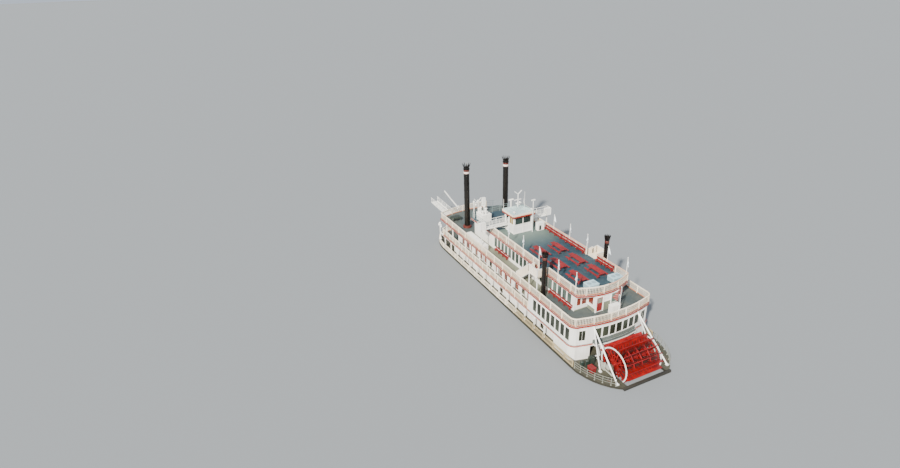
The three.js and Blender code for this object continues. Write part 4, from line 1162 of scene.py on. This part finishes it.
def stair_wing(side, s):
    (aft, fore), foot, low, rail = GATE, -3.7, TEXAS - SUN, RAIL_HEIGHT
    form, cap, treads = forms(3, SUN)
    head, toe = fore - 0.1, foot + 0.1
    form.box(aft, fore, s * 4.0, s * 5.6, -0.12, 0)
    cap.box(aft, fore, s * 5.6, s * 5.62, -0.11, -0.02)
    steps = 12
    for i in range(steps):
        t = (i + 0.5) / steps
        x = fore - 0.3 + (foot - fore - 0.05) * t
        treads.box(x - 0.14, x + 0.14, s * 4.7, s * 5.5, low * t - 0.05, low * t)
    panel = [(head, rail - 0.05), (toe, low + rail - 0.05), (toe, low + 0.05)]
    panel += [(foot - 0.35, low + 0.05), (head, -0.3)]
    for a, b in ((5.5, 5.56), (4.64, 4.7)):
        form.loft([[(x, s * y, z) for x, z in panel] for y in (a, b)])
        middle = s * (a + b) / 2
        cap.bar((head, middle, rail), (toe, middle, low + rail), 0.14, 0.06)
        cap.bar((head, middle, -0.3), (foot - 0.35, middle, low + 0.08), 0.1, 0.06)
    for x, y in ((fore, 5.5), (aft + 0.06, 4.05)):
        form.box(aft, x, s * y, s * 5.56, -0.06, rail - 0.05)
    cap.box(aft - 0.03, fore, s * 5.46, s * 5.6, rail - 0.05, rail)
    cap.box(aft - 0.04, aft + 0.1, s * 4.05, s * 5.6, rail - 0.05, rail)
    for x in stations(aft + 0.3, fore - 0.3, 5):
        cap.box(x - 0.03, x + 0.03, s * 5.56, s * 5.59, 0.02, rail - 0.06)
    for x in (aft + 0.1, fore - 0.1):
        cap.rod((x, s * 5.45, low + 0.002), (x, s * 5.45, -0.1), 0.07, sides=10)
    for x, z in ((toe, low), (aft + 0.05, 0)):
        cap.post(x, s * 5.53, 0.06, z + 0.01, z + rail + 0.02)
    made = piece(f"stair_wing_panels_{side}", form, CREAM)
    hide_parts(f"stair_wing_{side}")
    piece(f"stair_wing_caps_{side}", cap, TRIM, slot="rail_paint")
    piece(f"stair_wing_treads_{side}", treads, TREAD)


# Bridge wings: floor battens, rails across the outer end, the shelter's lid and corner boards


def bridge_wing(side, s):
    form = Form(SUN)
    floor, head, rail = WING_FLOOR, 2.1, s * (WING_END - 0.03)
    near = PILOT_HALF + s * PILOT_MIDDLE + 0.04
    for h in (0.32, 0.65, 0.99):
        form.rod((WING_AFT + 0.025, rail, floor + h), (WING_FORE - 0.025, rail, floor + h), 0.03)
    for y in stations(near + 0.1, WING_END - 0.1, 28):
        form.box(WING_AFT + 0.02, WING_FORE - 0.02, s * (y - 0.03), s * (y + 0.03), floor, floor + 0.012)
    form.box(5.32, 5.98, s * 5.27, s * 6.23, head, head + 0.05)
    for x in (5.33, 5.93):
        for y in (5.3, 6.16):
            form.box(x, x + 0.04, s * y, s * (y + 0.04), floor + 0.02, head)
    form.bar((5.85, s * (near - 0.03), 0.35), (5.85, s * 3.4, floor - 0.13), 0.07)
    piece(f"bridge_wing_rails_{side}", form, TRIM, smooth=True)


# Vent house's cowls and boxes ahead of the pilothouse, the flag cabinet and the signal lamps


def vent_gear():
    cowls, trim = forms(2, SUN)
    x0, x1, y0, y1 = plan = (9.9, 11.85, 1.8, 3.4)
    head = 1.15
    places = ((10.2, 2.6, 2.1), (11.5, 2.2, 1.9), (10.3, 3.1, 1.6), (11.0, 3.1, 2.1), (11.55, 3.1, 1.7))
    for x, y, h in places:
        cowls.spin([(0.15, h - 0.02), (0.21, h + 0.05), (0.22, h + 0.12), (0.05, h + 0.22)], x, y, sides=16)
        cowls.spin([(0.2, head + 0.001), (0.2, head + 0.04), (0.135, head + 0.07)], x, y, sides=16)
    trim.rim(plan, 0.04, head - 0.02, head + 0.04)
    for x in stations(x0 + 0.3, x1 - 0.3, 5):
        for a, b in ((y0 - 0.03, y0), (y1, y1 + 0.03)):
            trim.box(x - 0.15, x + 0.15, a, b, 0.2, 0.95)
    for a, b in ((y0 + 0.12, y0 + 0.72), (y0 + 0.88, y1 - 0.12)):
        trim.box(x0 - 0.03, x0, a, b, 0.15, 1.0)
    piece("vent_cowls", cowls, TRIM, smooth=True)
    piece("vent_house_trim", trim, TRIM, bevel=0.012)


def flag_cabinet():
    """Slatted cabinet beside the pilothouse, with a dark pane on its aft face that is painted shade for a
    slot.
    """
    case, slots = forms(2, SUN)
    x0, x1, y0, y1 = plan = (3.1, 3.75, -3.45, -2.35)
    for out, z0, z1 in ((0, 0.06, 1.2), (-0.05, 0.001, 0.06), (0.03, 1.2, 1.27)):
        case.rim(plan, out, z0, z1)
    for y in (y0, y0 + 0.5, y1 - 0.06):
        case.box(x0 - 0.015, x0, y, y + 0.06, 0.1, 1.18)
    # The dark pane is painted shade: it stands for the shade inside a slot in the cabinet's face.
    slots.box(x0 - 0.02, x0 + 0.01, y1 - 0.55, y1 - 0.2, 0.15, 0.9)
    piece("flag_cabinet", case, TRIM, bevel=0.01)
    piece("flag_cabinet_slot_shade", slots, DARK_GLASS)


def signal_lamps():
    form = Form(SUN + 2.6)
    x = 12.2
    for y in (2.9, 3.65):
        form.spin([(0.08, 0.0), (0.15, 0.06), (0.15, 0.24), (0.07, 0.32)], x, y, 0.06, 14)
    form.rod((x, 3.3, -0.02), (x, 3.3, -0.25), 0.03, sides=8)
    form.spin([(0.08, -0.5), (0.13, -0.42), (0.13, -0.3), (0.06, -0.24)], x, 3.3, sides=14)
    for z in (-0.78, -0.35, 0.1, 0.53):
        form.box(x - 0.24, x + 0.24, 1.63, 2.22, z - 0.02, z + 0.02)
    piece("signal_lamps", form, TRIM, smooth=True)


# Gear on the main deck: bearing caps, gear cases, box and drums astern, capstan ahead, and bollards


def bollards(form, places, height):
    """Pairs of bollards on plates, on both sides."""
    profile = [(0.09, 0.001), (0.09, height), (0.12, height + 0.02), (0.12, height + 0.08)]
    for x, y in [(x, s * y) for s in (1, -1) for x, y in places]:
        for at in (x - 0.16, x + 0.16):
            form.spin(profile, at, y, sides=12)
        form.post(x, y, 0.32, 0.001, 0.04, 0.14)


def stern_gear():
    pale, red, green, iron = forms(4, MAIN)
    x, z = WHEEL_X, WHEEL_Z - MAIN
    for s in (1, -1):
        pale.box(x - 0.75, x + 0.75, s * 3.29, s * 3.33, 0.002, 0.22)
        pale.rod((x, s * 3.37, z), (x, s * 3.48, z), 0.36, sides=20)
        for c, n in circle(8):
            iron.rod((x + 0.29 * c, s * 3.47, z + 0.29 * n), (x + 0.29 * c, s * 3.51, z + 0.29 * n), 0.03)
        pale.box(x + 0.55, x + 1.6, s * 3.0, s * 3.45, 0.002, 0.55)
        pale.rod((x + 0.8, s * 3.22, 0.55), (x + 0.8, s * 3.22, 0.85), 0.16, sides=14)
        pale.rod((x + 1.35, s * 3.22, 0.62), (x + 2.2, s * 3.22, 0.62), 0.09, sides=10)
    bollards(iron, ((-21.5, 4.25), (-18.9, 5.45)), 0.3)
    for out, z0, z1 in ((0, 0.05, 0.72), (0.05, 0.68, 0.75)):
        red.rim((-19.55, -18.75, 4.55, 5.15), out, z0, z1)
    for place in ((-17.9, 5.3), (-18.0, 4.65)):
        green.spin([(0.24, 0.001), (0.26, 0.03), (0.26, 0.8), (0.2, 0.86)], *place, sides=18)
    green.box(-18.2, -17.6, 3.6, 4.2, 0.002, 0.95)
    piece("stern_gear_cases", pale, GEAR_GREY, bevel=0.012)
    piece("stern_red_box", red, RED, bevel=0.015)
    piece("stern_drums", green, GREEN_DARK)
    piece("stern_bollards", iron, IRON)


CAPSTAN = [(0.4, 0.001), (0.4, 0.1), (0.22, 0.2), (0.2, 0.55), (0.34, 0.66), (0.34, 0.78), (0.1, 0.84)]


def bow_gear():
    """Bollards, capstan, and a covered table on the texas deck."""
    iron, cover = Form(MAIN), Form(TEXAS)
    bollards(iron, ((21.3, 4.6), (19.0, 5.6), (23.0, 2.4)), 0.32)
    iron.spin(CAPSTAN, 22.3, -1.6)
    cover.prism(rectangle(17.5, 18.7, 3.2, 4.9), 0.4, 0.68, rectangle(17.6, 18.6, 3.3, 4.8))
    for x in (17.6, 18.6):
        for y in (3.3, 4.05, 4.8):
            cover.post(x, y, 0.05, 0.001, 0.42)
    piece("bow_bollards", iron, IRON, smooth=True)
    piece("bow_covered_table", cover, GREEN_DARK, bevel=0.03)


# Landing stage's battens and the wires that hold it, which swing with it


def stage_gear():
    king_x, king_y, tip, root_z, tip_z = 21.65, 1.8, 32.2, 2.95, 3.36

    def at(x, y, z):
        return x, y, root_z + (tip_z - root_z) * (x - king_x) / (tip - king_x) + z

    battens, wires = forms(2, WATER)
    for x in stations(22.2, 32.1, 38):
        battens.bar(at(x, king_y - 0.56, 0.015), at(x, king_y + 0.56, 0.015), 0.07, 0.03)
    posts = stations(22.05, 32.1, 6)
    for y in (king_y - 0.625, king_y + 0.625):
        for h in (0.34, 0.62):
            battens.rod(at(22.05, y, h), at(32.15, y, h), 0.02)
        for a, b in zip(posts, posts[1:]):
            battens.rod(at(a, y, 0.05), at(b, y, 0.9), 0.016)
    boom_tip = (27.25, king_y, 7.05)
    wires.rod((king_x, king_y, 6.15), boom_tip, 0.014)
    for y in (king_y - 0.6, king_y + 0.6):
        for x in (30.2, 24.6):
            wires.rod(boom_tip, at(x, y, 0.9), 0.014)
    piece("stage_battens", battens, TRIM, "stage")
    piece("stage_falls", wires, STEEL, "stage")


def bow_lamp_glass():
    form = Form(WATER)
    form.spin([(0.1, 0.0), (0.16, 0.08), (0.16, 0.3), (0.06, 0.4)], 19.95, 6.2, 4.3, 14)
    for x in (19.5, 20.4):
        form.spin([(0.05, -0.34), (0.12, -0.28), (0.12, -0.1), (0.07, -0.02)], x, 6.2, 4.22, 14)
    piece("bow_lamp_glass", form, TRIM, smooth=True)


# Flagpoles round the sun deck with small white pennants, and the stern staff's limp flag

POLES = [(x, s * 3.88) for x in (1.3, -2.5, -6.3, -10.45, -14.0) for s in (1, -1)]
POLE_TOP = 3.08
CLOTH = {
    "quality": 6,
    "mass": 0.12,
    "tension_stiffness": 12,
    "compression_stiffness": 12,
    "shear_stiffness": 4,
    "bending_stiffness": 0.05,
    "air_damping": 2.0,
    "vertex_group_mass": "hoist",
}


def settled_cloth(name, hoist, fly, tip_share, breeze, frames):
    """Points of a flag pinned at its hoist, after it has settled under gravity and a light breeze."""
    down, along = 10, 14
    points, faces = [], []
    for i in range(along + 1):
        t = i / along
        height = hoist * (1 - t * (1 - tip_share))
        for j in range(down + 1):
            points.append((-fly * t, 0.02 * sin(5 * t) * t, -hoist / 2 + height * (0.5 - j / down)))
    for i in range(along):
        for a in range(i * (down + 1), i * (down + 1) + down):
            faces.append((a, a + 1, a + down + 2, a + down + 1))
    mesh = bpy.data.meshes.new(name)
    mesh.from_pydata(points, [], faces)
    rig = linked(name, mesh)
    rig.vertex_groups.new(name="hoist").add(list(range(down + 1)), 1.0, "REPLACE")
    settings = rig.modifiers.new("cloth", "CLOTH").settings
    for key, value in CLOTH.items():
        setattr(settings, key, value)
    scene = bpy.context.scene
    kept = tuple(scene.gravity)
    scene.gravity = breeze
    for number in range(1, frames + 1):
        scene.frame_set(number)
    shaped = rig.evaluated_get(bpy.context.evaluated_depsgraph_get()).to_mesh()
    found = [tuple(v.co) for v in shaped.vertices]
    scene.frame_set(1)
    scene.gravity = kept
    bpy.data.objects.remove(rig)
    return found, faces


def flag(name, shape, place, turn, material, area):
    points, faces = shape
    mesh = bpy.data.meshes.new(name)
    c, s = cos(radians(turn)), sin(radians(turn))
    px, py, pz = place
    turned = [(px + x * c - y * s, py + x * s + y * c, pz + z) for x, y, z in points]
    mesh.from_pydata([(x * HALF, y * HALF, z * HALF) for x, y, z in turned], [], faces)
    mesh.materials.append(material)
    mesh.shade_smooth()
    made = linked(name, mesh)
    made.modifiers.new("thickness", "SOLIDIFY").thickness = 0.004
    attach(made, "boat")
    area *= HALF * HALF


def flags():
    poles = Form(SUN)
    for x, y in POLES:
        poles.rod((x, y, 0.02), (x, y, POLE_TOP - 0.08), 0.045, 0.03, sides=10)
        poles.spin([(0.02, -0.09), (0.065, -0.06), (0.065, -0.02), (0.02, 0.01)], x, y, POLE_TOP, 10)
        for z in (0.3, 0.95):
            poles.post(x, y, 0.06, z, z + 0.05)
    made = piece("flagpoles", poles, TRIM, slot="rail_paint", smooth=True)
    hoist, fly, tip = 0.75, 1.15, 0.04
    breezes = (("a", (-1.2, 0.3, -9.7), 60), ("b", (-2.0, -0.4, -9.5), 54), ("c", (-0.8, 0.5, -9.7), 66))
    shapes = [settled_cloth(f"pennant_{mark}", hoist, fly, tip, *breeze) for mark, *breeze in breezes]
    area = hoist * fly * (1 + tip) / 2
    for i, (x, y) in enumerate(POLES):
        place, turn = (x - 0.05, y, SUN + POLE_TOP - 0.12), 6 * (i % 4) - 8
        flag(f"pennant_{i + 1}", shapes[i % 3], place, turn, FLAG, area)
    hoist, fly = 1.0, 1.7
    limp = settled_cloth("ensign_cloth", hoist, fly, 1.0, (-0.9, 0.5, -9.4), 60)
    place = (-17.31, -0.1, WATER + 9.4)
    flag("ensign", limp, place, 245, ENSIGN, hoist * fly)


promenade("main_deck", BOILER_PLAN[0] - 0.12, stations(-11.0, 18.6, 14), MAIN, BOILER - PLATE, 0.36)
promenade("boiler_deck", TEXAS_PLAN[0] - 0.28, stations(-5.2, 18.2, 11), BOILER, TEXAS - PLATE, 0.2)
for side, s in SIDES:
    benches(side, s)
    tables(side)
    air_unit(side, s)
    locker(side, s)
    stair_wing(side, s)
    bridge_wing(side, s)
vent_gear()
flag_cabinet()
signal_lamps()
stern_gear()
bow_gear()
stage_gear()
bow_lamp_glass()
flags()


# Finishes of the solids that show as they are


def dress(material, names):
    for name in names.split():
        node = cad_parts[name]
        if node.material_slots:
            node.material_slots[0].material = material
        else:
            node.data.materials.append(material)


dress(HULL, "hull")
dress(MAIN_FLOOR, "main_deck")
dress(DECK_FLOOR, "boiler_deck texas_deck")
dress(SUN_FLOOR, "sun_deck")
dress(WHITE, "main_house boiler_house boiler_house_aft texas_house pilothouse vent_house signal_frame")
dress(WHITE, "pilot_mast radar_post stern_staff stern_locker bow_lamp king_post stage_boom landing_stage")
dress(IRON, "engine_block")
dress(TIMBER, "stern_beam")
dress(RED, "texas_door")
dress(WHEEL_RED, "paddle_wheel")
for side, _ in SIDES:
    dress(WHITE, f"bridge_wing_{side} stern_brace_{side} wheel_hoop_{side}")
    dress(IRON, f"wheel_bearing_{side} rudder_{side}")


# Floor at the waterline, and soft light

FLOOR_HALF = 1500


def stage():
    mesh = bpy.data.meshes.new("floor")
    corners = rectangle(-FLOOR_HALF, FLOOR_HALF, -FLOOR_HALF, FLOOR_HALF)
    mesh.from_pydata([(x, y, WATER * HALF) for x, y in corners], [], [(0, 1, 2, 3)])
    material = bpy.data.materials.new("floor")
    shader = shader_of(material)
    shader.inputs["Base Color"].default_value = (0.225, 0.24, 0.25, 1)
    shader.inputs["Roughness"].default_value = 0.9
    mesh.materials.append(material)
    floor = linked("floor", mesh)


def lights():
    world = bpy.data.worlds.new("sky")
    world.use_nodes = True
    background = world.node_tree.nodes["Background"]
    background.inputs[0].default_value = (0.78, 0.87, 1.0, 1)
    background.inputs[1].default_value = 0.78
    bpy.context.scene.world = world
    for name, strength, spread, way, tint in (
        ("key", 9.5, 2.5, (0.50, -0.64, -0.58), (1.0, 0.96, 0.89)),
        ("fill", 0.3, 45, (0.7, 0.5, -0.6), (0.95, 0.97, 1.0)),
    ):
        data = bpy.data.lights.new(name, "SUN")
        data.energy = strength
        data.angle = radians(spread)
        data.color = tint
        linked(name, data).rotation_euler = Vector(way).to_track_quat("-Z", "Y").to_euler()


stage()
lights()
